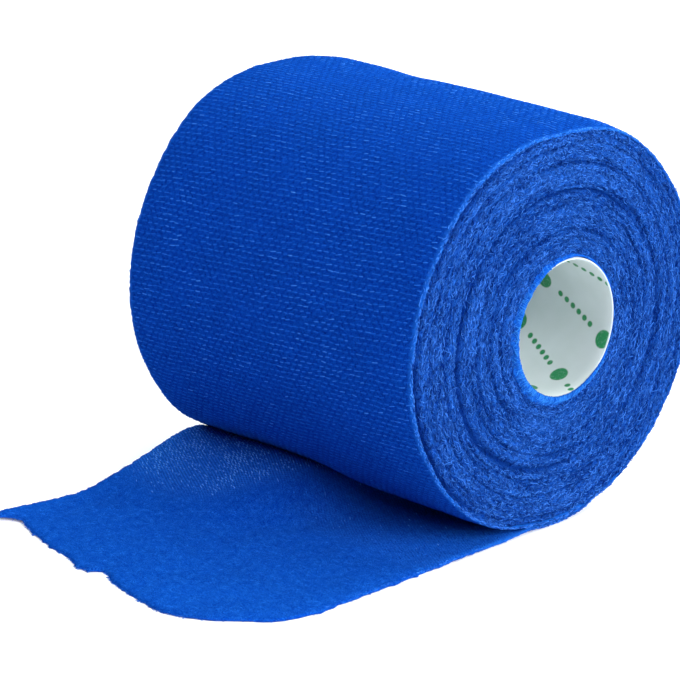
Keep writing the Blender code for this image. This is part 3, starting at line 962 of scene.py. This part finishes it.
near_face, far_face = EndFace(501, 0.0), EndFace(601, 143.0)
FACE_PLANE = 39.45


def winding_radius(phi, near):
    """Outside radius of the turns under the outermost one, at the near end,
    where the loose end leaves the roll lower down, or elsewhere."""
    base = outline(phi) - CLOTH - 0.14
    base = np.where(phi >= 330.0, base + (WRAP - CLOTH - 0.14 - base) * smooth((phi - 330.0) / 12.0), base)
    signed = np.where(phi > 180.0, phi - 360.0, phi)
    base = np.where((signed > -30.0) & (signed <= 0.0), WRAP - CLOTH - 0.14, base)
    # below the stretch where two layers of the outer turn lie on each other
    low = UNDER - CLOTH - 0.14
    step = smooth((signed + 15.0) / 3.0) * smooth(((25.0 if near else 52.0) - signed) / 14.0)
    return base + (np.minimum(base, low) - base) * step


def place(x, r, phi):
    """Point of the winding at nominal radius r, round a centre that moves
    from the tube's to the roll's. Both ends are shallow cones: the inner
    turns have moved towards +X."""
    share = np.clip((r - WINDING_INNER) / WINDING_DEPTH, 0.0, 1.0)
    dy, dz = around(phi)
    y = TUBE_OFFSET_Y * (1.0 - share) + r * dy
    z = AXIS_HEIGHT + TUBE_OFFSET_Z * (1.0 - share) + r * dz
    return np.stack([x + END_CONE * (1.0 - share) + 0.0 * y, y, z], axis=-1)


ring_points, ring_at, groove_shade, shades, ring_sizes = [], [], [], [], []


def add_ring(x, r, deep, phi):
    shades.append((near_face if np.mean(x) > 0 else far_face).shade(phi, r))
    ring_points.append(place(x, r, phi))
    a = np.radians(phi)
    ring_at.append(np.stack([28.0 * np.cos(a) + (0.0 if np.mean(x) > 0 else 300.0), 28.0 * np.sin(a), r + 0.0 * a], axis=-1))
    groove_shade.append(deep + 0.0 * a)
    ring_sizes.append(len(phi))


def add_face(face, sign, steps, count):
    """Rings of one end face, from the tube out or from the rim in."""
    phi = np.arange(steps) * 360.0 / steps
    body = winding_radius(phi, sign > 0)
    shares = np.linspace(0.0, 1.0, count)[::1 if sign > 0 else -1]
    for share in shares:
        r = WINDING_INNER + (body - WINDING_INNER) * share
        h, deep = face.read(phi, r)
        signed = np.where(phi > 180.0, phi - 360.0, phi)
        roll_off = 0.5 * smooth((share - 0.985) / 0.015) * (1.0 - 0.9 * smooth((60.0 - np.abs(signed)) / 20.0))
        add_ring(sign * (FACE_PLANE + h - roll_off), r, deep, phi)
    return phi, body


phi_near = np.arange(NEAR_STEPS) * 360.0 / NEAR_STEPS
phi_far = np.arange(FAR_STEPS) * 360.0 / FAR_STEPS
add_face(near_face, 1, NEAR_STEPS, NEAR_RINGS)
add_ring(np.full(NEAR_STEPS, 38.0), winding_radius(phi_near, True), 0.6, phi_near)
add_ring(np.full(NEAR_STEPS, 30.0), winding_radius(phi_near, True), 0.6, phi_near)
add_ring(np.full(NEAR_STEPS, 12.0), winding_radius(phi_near, False), 0.6, phi_near)
add_ring(np.full(FAR_STEPS, -38.0), winding_radius(phi_far, False), 0.6, phi_far)
add_face(far_face, -1, FAR_STEPS, FAR_RINGS)
add_ring(np.full(FAR_STEPS, -38.3 - END_CONE), np.full(FAR_STEPS, WINDING_INNER), 0.6, phi_far)
add_ring(np.full(NEAR_STEPS, 37.0), np.full(NEAR_STEPS, WINDING_INNER), 0.6, phi_near)
starts = np.concatenate([[0], np.cumsum(ring_sizes)])
quads, tris = [], []
for k, size in enumerate(ring_sizes):
    m = (k + 1) % len(ring_sizes)
    a = starts[k] + np.arange(size)
    a1 = np.roll(a, -1)
    b = starts[m] + np.arange(ring_sizes[m])
    b1 = np.roll(b, -1)
    if ring_sizes[m] == size:
        quads.append(np.stack([a, a1, b1, b], axis=-1))
    elif ring_sizes[m] < size:
        mid, end = a[1::2], a1[1::2]
        tris += [np.stack([a[::2], mid, b], -1), np.stack([mid, b1, b], -1), np.stack([mid, end, b1], -1)]
    else:
        mid, end = b[1::2], b1[1::2]
        tris += [np.stack([a, mid, b[::2]], -1), np.stack([a, a1, mid], -1), np.stack([a1, end, mid], -1)]
quads, tris = np.concatenate(quads), np.concatenate(tris)
verts = np.concatenate(ring_points)
verts[:, 2] = np.maximum(verts[:, 2], 0.9)
if volume(verts, quads, tris) < 0.0:
    quads, tris = quads[:, ::-1], tris[:, ::-1]
turns = make_piece("wound_turns", verts, [quads, tris], winding_material(),
                   [("ring", np.concatenate(ring_at)), ("groove_shade", np.concatenate(groove_shade)),
                    ("shade", np.concatenate(shades))])
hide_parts("bandage_roll")


# --------------------------------------------------- fibres of the end faces
def face_fibres(face, sign, long_count, short_count, seed):
    """Fibres of the felted edges: long crimped ones that lie along the turns,
    and short curly ones, many of which stand off the face with one end."""
    rng = np.random.default_rng(seed)
    verts, faces, tones, made = [], [], [], 0
    for long_one, count in ((True, long_count), (False, short_count)):
        n = int(count * 1.7)
        phi = rng.uniform(0.0, 360.0, n)
        r = np.sqrt(rng.uniform((WINDING_INNER + 0.1) ** 2, 40.6 ** 2, n))
        h, deep = face.read(phi, r)
        patch = face.patch(np.mod(phi + face.turned, 360.0) / 360.0, np.clip((r - 15.0) / 26.5, 0, 1))
        keep = (rng.random(n) < np.clip(1.0 - 1.12 * deep + 0.22 * patch, 0.04, 1.0))
        keep &= r < winding_radius(phi, sign > 0) - 0.05
        phi, r, h, deep = phi[keep][:count], r[keep][:count], h[keep][:count], deep[keep][:count]
        n = len(phi)
        if long_one:
            s = np.linspace(-1.0, 1.0, 5)
            half = np.clip(rng.gamma(6.0, 0.112, n), 0.35, 1.4)
            turn = rng.normal(0.0, 0.24, n) + np.where(rng.random(n) < 0.12, rng.normal(0.0, 0.8, n), 0.0)
            wave = rng.uniform(1.0, 1.8, n)
            start = rng.uniform(0.0, 2.0 * math.pi, n)
            dn = (rng.gamma(3.0, 0.052, n)[:, None] * np.sin(2.0 * math.pi * half[:, None] * s / wave[:, None]
                                                             + start[:, None])
                  + rng.normal(0.0, 0.12, n)[:, None] * (s ** 2 - 0.4) * half[:, None])
            free = rng.random(n) < 0.22
            rise = np.where(free, np.clip(rng.gamma(2.0, 0.15, n), 0.05, 0.8), rng.uniform(0.05, 0.30, n))
            light = rng.random(n) < 0.42
            wide = np.where(light, rng.uniform(0.070, 0.110, n), rng.uniform(0.060, 0.100, n))
            tone = np.where(light, rng.normal(0.72, 0.16, n), rng.normal(0.16, 0.11, n))
        else:
            s = np.array([-1.0, -0.36, 0.36, 1.0])
            half = rng.uniform(0.25, 0.62, n)
            turn = rng.normal(0.0, 0.55, n) + np.where(rng.random(n) < 0.16, math.pi / 2.0, 0.0)
            dn = rng.normal(0.0, 0.55, n)[:, None] * (s ** 2 - 0.4) * half[:, None]
            free = rng.random(n) < 0.60
            rise = np.where(free, np.clip(rng.gamma(1.8, 0.19, n), 0.05, 0.90), rng.uniform(0.08, 0.34, n))
            wide = rng.uniform(0.055, 0.090, n)
            tone = rng.normal(0.38, 0.25, n)
        turn = turn + np.where(rng.random(n) < 0.5, math.pi, 0.0)
        du = half[:, None] * s[None, :]
        tang = du * np.cos(turn)[:, None] - dn * np.sin(turn)[:, None]
        rad = du * np.sin(turn)[:, None] + dn * np.cos(turn)[:, None]
        rr = np.clip(r[:, None] + rad, WINDING_INNER + 0.05, 41.0)
        pp = phi[:, None] + np.degrees(tang / np.maximum(rr, 1.0))
        rr = np.minimum(rr, winding_radius(np.mod(pp, 360.0), sign > 0) + 0.05)
        hh, _ = face.read(pp, rr)
        # a fibre bridges the dips that it crosses
        hh = 0.6 * hh + 0.4 * np.maximum(hh, h[:, None])
        stand = np.where(free[:, None], ((s[None, :] + 1.0) / 2.0) ** 1.3, 1.0 - s[None, :] ** 2)
        sink = np.where(free[:, None], 0.08 * (s[None, :] < -0.9), 0.08 * (np.abs(s[None, :]) > 0.9))
        x = np.minimum(FACE_PLANE + hh + rise[:, None] * stand - sink, 40.7)
        pts = place(sign * x, rr, pp)
        up = np.tile(np.array([[float(sign), 0.0, 0.0]]), (n, 1))
        v, f, station = strands(pts, np.tile(wide[:, None], (1, len(s))), up)
        # painted shade and light: fibres are darker in the grooves, lighter where they stand off the face and
        # darker where they sink in
        tone = tone + 0.30 * face.shade(phi, r) - 0.50 * deep
        tips = (0.30 * (stand * rise[:, None] / 0.4) - 0.08)[:, station]
        verts.append(v)
        faces.append(f + made)
        tones.append(np.clip(tone[:, None] + tips, 0.0, 1.0).ravel())
        made += len(v)
    return np.concatenate(verts), np.concatenate(faces), np.concatenate(tones)


fluff = fibre_material("edge_fibres", (0.0005, 0.0155, 0.19), (0.046, 0.212, 0.80))
for title, face, sign, long_count, short_count, seed in (("fibres_near_a", near_face, 1, 5300, 4400, 71),
                                                         ("fibres_near_b", near_face, 1, 5300, 4400, 73),
                                                         ("fibres_far", far_face, -1, 2500, 2150, 72)):
    v, f, tone = face_fibres(face, sign, long_count, short_count, seed)
    ob = make_piece(title, v, [f], fluff, [("tone", tone)])


# ---------------------------------------------------- fuzz along the edges
def edge_fuzz(count, seed):
    """Loops and ends of yarn along the band's side edges and its cut end, and
    the edge stitches that bind each row's end."""
    rng = np.random.default_rng(seed)
    sets = []
    v_turn_end = 345.0 * V_PER_DEGREE
    for sign in (-1.0, 1.0):
        n = count
        v = rng.uniform(v_low, v_turn_end, n)
        v = v[v > cut_at(np.full(n, 39.95 * sign)) + 0.3]
        n = len(v)
        u = np.full(n, 39.95 * sign)
        skin_side = rng.uniform(-1.0, 1.0, n)
        a, na = on_band(u, v, "outer")
        b, _ = on_band(u, v, "inner")
        base = a * (0.5 + 0.5 * skin_side)[:, None] + b * (0.5 - 0.5 * skin_side)[:, None]
        c, _ = on_band(u, v + 0.5, "outer")
        along = unit(c - a)
        out = np.array([[sign, 0.0, 0.0]])
        reach = rng.gamma(2.2, 0.075, n)
        lean = rng.normal(0.0, 0.34, n)
        rise = rng.normal(0.0, 0.10, n)
        base = base - out * 0.12
        p1 = base + out * (reach * 0.6)[:, None] + along * (lean * 0.3)[:, None] + na * (rise * 0.5)[:, None]
        p2 = base + out * reach[:, None] + along * (lean * 0.8)[:, None] + na * rise[:, None]
        p3 = base + out * (reach * 0.75)[:, None] + along * (lean * 1.5)[:, None] + na * (rise * 1.2)[:, None]
        sets.append((np.stack([base - out * 0.1, p1, p2, p3], axis=1), na, rng.uniform(0.045, 0.08, n),
                     np.clip(rng.normal(0.45, 0.22, n), 0.0, 1.0)))
        # edge stitches: short floats along the edge, one or two for each row
        v = np.arange(v_low, v_turn_end, ROW_PITCH * 0.42)
        v = v + rng.normal(0.0, 0.22, len(v))
        v = v[(v > cut_at(np.full(len(v), 39.95 * sign)) + 0.6) & (rng.random(len(v)) > 0.16)]
        n = len(v)
        half = rng.uniform(0.22, 0.62, n)
        inward = 0.04 + 0.55 * rng.random(n) ** 1.6
        tilt = rng.normal(0.0, 0.17, n)
        loose_part = v < -20.0
        pts = np.zeros((n, 4, 3))
        for k, share in enumerate((-1.0, -0.5, 0.5, 1.0)):
            uu = sign * (39.98 - np.clip(inward + tilt * share, 0.0, 0.8))
            a, na = on_band(uu, v + half * share, "outer")
            b, nb = on_band(uu, v + half * share, "inner")
            pos = np.where(loose_part[:, None], b, a)
            nor = np.where(loose_part[:, None], nb, na)
            pts[:, k] = pos + nor * (0.02 if abs(share) < 0.9 else -0.05)
            if k == 1:
                up = nor
        # painted shade: the edge stitches on the loose end are darker, where the light from the right falls on
        # its edge
        sets.append((pts, up, rng.uniform(0.065, 0.12, n),
                     np.clip(rng.normal(0.55, 0.22, n) - 0.36 * loose_part, 0.0, 1.0)))
    # the cut end
    n = int(count * 0.6)
    u = rng.uniform(-39.8, 39.8, n)
    v = cut_at(u) + 0.02
    a, na = on_band(u, v, "inner")
    b, _ = on_band(u, v + 0.6, "inner")
    out = unit(a - b)
    across = unit(np.cross(out, na))
    reach = rng.gamma(2.2, 0.11, n)
    lean = rng.normal(0.0, 0.32, n)
    rise = np.abs(rng.normal(0.0, 0.07, n))
    base = a - out * 0.15 - na * 0.10
    p1 = base + out * (reach * 0.6)[:, None] + across * (lean * 0.3)[:, None] + na * (rise * 0.5)[:, None]
    p2 = base + out * reach[:, None] + across * (lean * 0.8)[:, None] + na * rise[:, None]
    p3 = base + out * (reach * 0.8)[:, None] + across * (lean * 1.5)[:, None] + na * rise[:, None]
    sets.append((np.stack([base - out * 0.1, p1, p2, p3], axis=1), na, rng.uniform(0.05, 0.085, n),
                 np.clip(rng.normal(0.45, 0.22, n), 0.0, 1.0)))
    pts = np.concatenate([s[0] for s in sets])
    up = np.concatenate([s[1] for s in sets])
    wide = np.concatenate([s[2] for s in sets])
    tone = np.concatenate([s[3] for s in sets])
    pts[..., 2] = np.maximum(pts[..., 2], 0.08)
    v, f, station = strands(pts, np.tile(wide[:, None], (1, 4)), up, flat=0.8)
    return v, f, np.repeat(tone, len(station))


def edge_felt(sign, count, seed):
    """Short fibres that lie along the side edges of the outermost turn, most of
    them underneath and behind, where the edge looks like the turns in it."""
    rng = np.random.default_rng(seed)
    k = V_PER_DEGREE
    v = np.concatenate([rng.uniform(-10.0 * k, 95.0 * k, int(count * 0.48)),
                        rng.uniform(316.0 * k, 371.0 * k, int(count * 0.26)),
                        rng.uniform(95.0 * k, 316.0 * k, int(count * 0.26))])
    n = len(v)
    s = np.array([-1.0, -0.36, 0.36, 1.0])
    layer = rng.uniform(-0.95, 0.95, n)
    half = rng.uniform(0.30, 0.85, n)
    turn = rng.normal(0.0, 0.32, n)
    bow = rng.normal(0.0, 0.45, n)[:, None] * (s ** 2 - 0.4) * half[:, None]
    away = half[:, None] * s[None, :] * np.sin(turn)[:, None] + bow * np.cos(turn)[:, None]
    vv = v[:, None] + half[:, None] * s[None, :] * np.cos(turn)[:, None]
    rise = rng.gamma(1.8, 0.09, n)[:, None] * ((s[None, :] + 1.0) / 2.0) ** 1.3 * (rng.random(n) < 0.6)[:, None]
    pts = np.zeros((n, 4, 3))
    for j in range(4):
        a, na = on_band(np.full(n, 39.9 * sign), vv[:, j], "outer")
        b, _ = on_band(np.full(n, 39.9 * sign), vv[:, j], "inner")
        share = np.clip(0.5 + 0.5 * layer + away[:, j] / CLOTH, -0.10, 1.12)[:, None]
        pts[:, j] = b + (a - b) * share
        pts[:, j, 0] += sign * (0.10 + rise[:, j] - (0.10 if j in (0, 3) else 0.0))
    pts[..., 2] = np.maximum(pts[..., 2], 0.10)
    up = np.tile(np.array([[float(sign), 0.0, 0.0]]), (n, 1))
    light = rng.random(n) < 0.5
    tone = np.where(light, rng.normal(0.78, 0.15, n), rng.normal(0.22, 0.12, n))
    v, f, station = strands(pts, np.tile(rng.uniform(0.060, 0.115, n)[:, None], (1, 4)), up)
    return v, f, np.repeat(np.clip(tone, 0.0, 1.0), len(station))


for title, sign, count, seed in (("edge_felt_near", 1.0, 1250, 85), ("edge_felt_far", -1.0, 420, 86)):
    v, f, tone = edge_felt(sign, count, seed)
    ob = make_piece(title, v, [f], fluff, [("tone", tone)])

fuzz_mat = fibre_material("edge_fuzz", (0.0025, 0.060, 0.47), (0.055, 0.27, 0.92))
v, f, tone = edge_fuzz(1500, 81)
fuzz = make_piece("edge_fuzz", v, [f], fuzz_mat, [("tone", tone)])


# ---------------------------------------------------------- lip of the bore
LIP = (
    # angle, presence, outer radius
    (0.0, 1.0, 15.6), (20.0, 1.0, 15.85), (40.0, 1.0, 15.8), (62.0, 1.0, 15.5),
    (90.0, 1.0, 15.3), (117.0, 0.95, 15.25), (145.0, 0.60, 15.1), (170.0, 0.35, 15.0),
    (195.0, 0.15, 14.95), (220.0, 0.0, 14.9), (275.0, 0.0, 14.9), (300.0, 0.30, 15.0),
    (325.0, 0.70, 15.2), (345.0, 0.95, 15.4), (360.0, 1.0, 15.6),
)
lip_there, lip_outer = (column(LIP, k) for k in (1, 2))
RIM_TOP = 41.7 - END_CONE             # the tube's end, in a face's own reading


def lip_at(phi):
    """Presence, inner and outer radius of the lip."""
    k, i = np.arange(361.0), np.mod(phi, 360.0)
    there = np.interp(i, k, lip_there)
    return there, 14.52 - 0.80 * smooth(there / 0.8), np.interp(i, k, lip_outer)


def lip_top(share, there):
    """Height of the lip from its inner side (0) to its outer side (1)."""
    share = np.clip(share, 0.0, 1.0)
    inside = np.sqrt(np.clip(1.0 - (share / 0.30 - 1.0) ** 2, 0.0, 1.0))
    outside = 1.0 - np.clip((share - 0.30) / 0.70, 0.0, 1.0) ** 1.7
    crest = RIM_TOP + 0.06 + 0.24 * np.where(share < 0.30, inside, outside)
    low = FACE_PLANE + 0.10
    drop = smooth((share - 0.45) / 0.55)
    crest = crest * (1.0 - drop) + low * drop
    return low + (crest - low) * smooth(there / 0.5)


def build_lip(name, sign, seed, turned):
    """The innermost turns, smoother than the rest, as a soft roll that leans
    over the tube's rim. It fades into the face where the tube stands free."""
    steps = 240
    lump = lattice(seed, 60, 3)
    fine = lattice(seed + 1, 240, 5)
    phi = np.arange(steps) * 360.0 / steps
    there, r_in, r_out = lip_at(phi + turned)
    r_in = r_in + 0.07 * fine(phi / 360.0, np.full(steps, 0.1)) * there
    r_out = r_out + 0.16 * lump(phi / 360.0, np.full(steps, 0.9))
    rows = []
    for share in np.linspace(0.0, 1.0, 10):
        noise = 0.07 * lump(phi / 360.0, np.full(steps, share)) + 0.07 * fine(phi / 360.0, np.full(steps, share))
        x = lip_top(share, there) - 0.05 + noise * there * (0.2 + 0.8 * min(1.0, 4.0 * share))
        rows.append(place(sign * x, r_in + (r_out - r_in) * share, phi))
    for share, base in ((0.97, FACE_PLANE - 0.7), (0.55, FACE_PLANE - 0.8)):
        rows.append(place(sign * np.full(steps, base), r_in + (r_out - r_in) * share, phi))
    under = np.where(r_in < 14.4, RIM_TOP + 0.03, FACE_PLANE - 0.7)
    rows.append(place(sign * under, np.maximum(r_in + 0.02, 14.0 + 0.0 * r_in), phi))
    rows = np.stack(rows)
    profile = len(rows)
    idx = np.arange(profile * steps).reshape(profile, steps)
    nxt = np.roll(idx, -1, axis=0)
    faces = np.stack([idx, np.roll(idx, -1, axis=1), np.roll(nxt, -1, axis=1), nxt], axis=-1).reshape(-1, 4)
    verts = rows.reshape(-1, 3)
    if volume(verts, faces) < 0.0:
        faces = faces[:, ::-1]
    tone = np.tile(0.02 + 0.10 * there, profile)
    ob = make_piece(name, verts, [faces], lip_mat, [("tone", tone)])
    return ob


def lip_fibres(sign, count, seed, turned):
    """Ribs across the lip, which end on the tube's rim, and curled fibres."""
    rng = np.random.default_rng(seed)
    ribs = 230
    phi = np.concatenate([np.arange(ribs) * 360.0 / ribs + rng.normal(0.0, 0.35, ribs),
                          rng.uniform(0.0, 360.0, count)])
    rib = np.arange(len(phi)) < ribs
    there, r_in, r_out = lip_at(phi + turned)
    keep = rng.random(len(phi)) < there * 1.1
    phi, rib, there, r_in, r_out = phi[keep], rib[keep], there[keep], r_in[keep], r_out[keep]
    n = len(phi)
    from_share = np.where(rib, rng.uniform(-0.10, 0.05, n), rng.uniform(-0.05, 0.7, n))
    to_share = np.where(rib, rng.uniform(0.75, 1.0, n), from_share + rng.uniform(0.25, 0.5, n))
    skew = np.where(rib, rng.normal(0.6, 0.6, n), rng.normal(0.0, 3.5, n))
    s = np.linspace(0.0, 1.0, 5)
    share = from_share[:, None] + (to_share - from_share)[:, None] * s[None, :]
    rr = r_in[:, None] + (r_out - r_in)[:, None] * share
    pp = phi[:, None] + skew[:, None] * s[None, :]
    x = lip_top(share, there[:, None]) + np.where(rib, 0.03, 0.08)[:, None]
    pts = place(sign * x, rr, pp)
    radii = np.tile(np.where(rib, rng.uniform(0.07, 0.13, n), rng.uniform(0.05, 0.09, n))[:, None], (1, 5))
    up = np.tile(np.array([[float(sign), 0.0, 0.0]]), (n, 1))
    v, f, station = strands(pts, radii, up)
    tone = np.clip(np.where(rib, 0.62, 0.66) + rng.normal(0.0, 0.25, n), 0.0, 1.0)
    return v, f, np.repeat(tone, len(station))


lip_mat = fibre_material("lip_azure", (0.003, 0.070, 0.46), (0.040, 0.260, 0.80))
for title, sign, seed, turned in (("near", 1, 91, 0.0), ("far", -1, 95, 140.0)):
    build_lip("lip_" + title, sign, seed, turned)
    v, f, tone = lip_fibres(sign, 420, seed + 2, turned)
    ob = make_piece("lip_fibres_" + title, v, [f], lip_mat, [("tone", tone)])


# -------------------------------------------------------------------- the tube
def build_tube():
    """Card tube with softened rims."""
    steps = 160
    half = 40.0
    outer = TUBE_OUTER - 0.26
    profile = [(BORE_RADIUS, x) for x in np.linspace(-half + 0.35, half - 0.35, 41)]
    profile += [(BORE_RADIUS + 0.06, half - 0.10), (BORE_RADIUS + 0.18, half),
                (outer - 0.20, half), (outer - 0.07, half - 0.1), (outer, half - 0.35),
                (outer, -half + 0.35), (outer - 0.07, -half + 0.1), (outer - 0.20, -half),
                (BORE_RADIUS + 0.18, -half), (BORE_RADIUS + 0.06, -half + 0.10)]
    phi = np.arange(steps) * 360.0 / steps
    dy, dz = around(phi)
    soft = lattice(131, 7, 4)
    rows, polar = [], []
    for r, x in profile:
        rr = r + 0.06 * soft(phi / 360.0, (x + 40.0) / 80.0)
        rows.append(np.stack([np.full(steps, x + TUBE_SHIFT), TUBE_OFFSET_Y + rr * dy,
                              AXIS_HEIGHT + TUBE_OFFSET_Z + rr * dz], axis=-1))
        polar.append(np.full(steps, 1.0 if r < BORE_RADIUS + 0.03 else 0.0))
    rows, polar = np.stack(rows), np.stack(polar)
    count = len(rows)
    idx = np.arange(count * steps).reshape(count, steps)
    nxt = np.roll(idx, -1, axis=0)
    faces = np.stack([idx, np.roll(idx, -1, axis=1), np.roll(nxt, -1, axis=1), nxt], axis=-1).reshape(-1, 4)
    verts = rows.reshape(-1, 3)
    if volume(verts, faces) < 0.0:
        faces = faces[:, ::-1]
    # the sheet's own coordinates, for each face corner: it is joined at the bottom
    column_of = np.tile(np.arange(steps), len(faces) // steps)
    corner_step = faces % steps
    corner_step = np.where((corner_step == 0) & (column_of[:, None] == steps - 1), steps, corner_step)
    across = np.array([x for _, x in profile])[faces // steps]
    polar = np.stack([across, BORE_RADIUS * np.radians(corner_step * 360.0 / steps - 100.0),
                      polar.ravel()[faces]], axis=-1).reshape(-1, 3)
    ob = make_piece("card_tube", verts, [faces], tube_material(), [("polar", polar)], sharp=50.0)
    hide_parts("core_tube")
    return ob


tube = build_tube()


# ------------------------------------------------- floor, light and camera
def plain(name, colour, roughness):
    g = Graph(name, Roughness=roughness, Specular_IOR_Level=0.2,
              Emission_Color=(1.0, 1.0, 1.0, 1.0), Emission_Strength=0.13)
    place = g.object_mm()
    fine = g.noise(place, 0.02, 2.0, 0.5)
    g.put(g.bsdf.inputs["Base Color"],
          g.mix(fine, tuple(c * 0.99 for c in colour), colour))
    return g.mat


floor_mesh = bpy.data.meshes.new("floor")
size = 6.0
floor_mesh.from_pydata([(-size, -size, -0.00005), (size, -size, -0.00005), (size, size, -0.00005),
                        (-size, size, -0.00005)], [], [(0, 1, 2, 3)])
floor_mesh.materials.append(plain("floor_pale", (0.955, 0.955, 0.958), 0.9))
floor = bpy.data.objects.new("floor", floor_mesh)
bpy.context.scene.collection.objects.link(floor)

# soft boxes round the table: where each stands (0 towards -Y, 90 towards +X),
# how high above the table it is seen, its power and its colour
SOFT_BOXES = (
    ("light_right", 90.0, 25.0, 68.8, (0.99, 1.0, 0.96)),
    ("light_back_right", 135.0, 25.0, 16.4, (0.975, 1.0, 0.845)),
    ("light_back", 180.0, 25.0, 25.4, (0.98, 1.0, 0.945)),
    ("light_back_high", 180.0, 55.0, 22.7, (0.90, 1.0, 0.815)),
    ("light_left_high", 240.0, 55.0, 14.4, (0.76, 1.0, 0.75)),
    ("light_left", 270.0, 25.0, 17.0, (0.935, 1.0, 0.965)),
    ("light_front", 0.0, 55.0, 13.3, (0.82, 0.72, 1.0)),
)
for name, round_at, above, power, tint in SOFT_BOXES:
    a, b = math.radians(round_at), math.radians(above)
    way = Vector((math.sin(a) * math.cos(b), -math.cos(a) * math.cos(b), math.sin(b)))
    data = bpy.data.lights.new(name, "AREA")
    data.shape = "SQUARE"
    data.size = 1.2
    data.energy = power
    data.color = tint
    lamp = bpy.data.objects.new(name, data)
    lamp.location = Vector((0.0, 0.0, 0.04)) + way * 2.2
    lamp.rotation_euler = (-way).to_track_quat("-Z", "Y").to_euler()
    bpy.context.scene.collection.objects.link(lamp)

world = bpy.data.worlds.new("studio")
world.use_nodes = True
world.node_tree.nodes["Background"].inputs[0].default_value = (1.0, 1.0, 1.0, 1.0)
world.node_tree.nodes["Background"].inputs[1].default_value = 0.05
bpy.context.scene.world = world
bpy.context.scene.view_settings.view_transform = "Standard"

camera_data = bpy.data.cameras.new("camera")
camera_data.sensor_width = 36.0
camera_data.lens = 212.73
camera_data.clip_start, camera_data.clip_end = 0.05, 30.0
camera = bpy.data.objects.new("camera", camera_data)
azimuth, elevation = math.radians(45.01), math.radians(18.45)
back = Vector((math.sin(azimuth) * math.cos(elevation), -math.cos(azimuth) * math.cos(elevation),
               math.sin(elevation)))
right = Vector((math.cos(azimuth), math.sin(azimuth), 0.0))
top = back.cross(right)
turn = Matrix((right, top, back)).transposed().to_4x4()
turn.translation = Vector((0.5414, -0.56168, 0.28981))
camera.matrix_world = turn
bpy.context.scene.collection.objects.link(camera)
bpy.context.scene.camera = camera
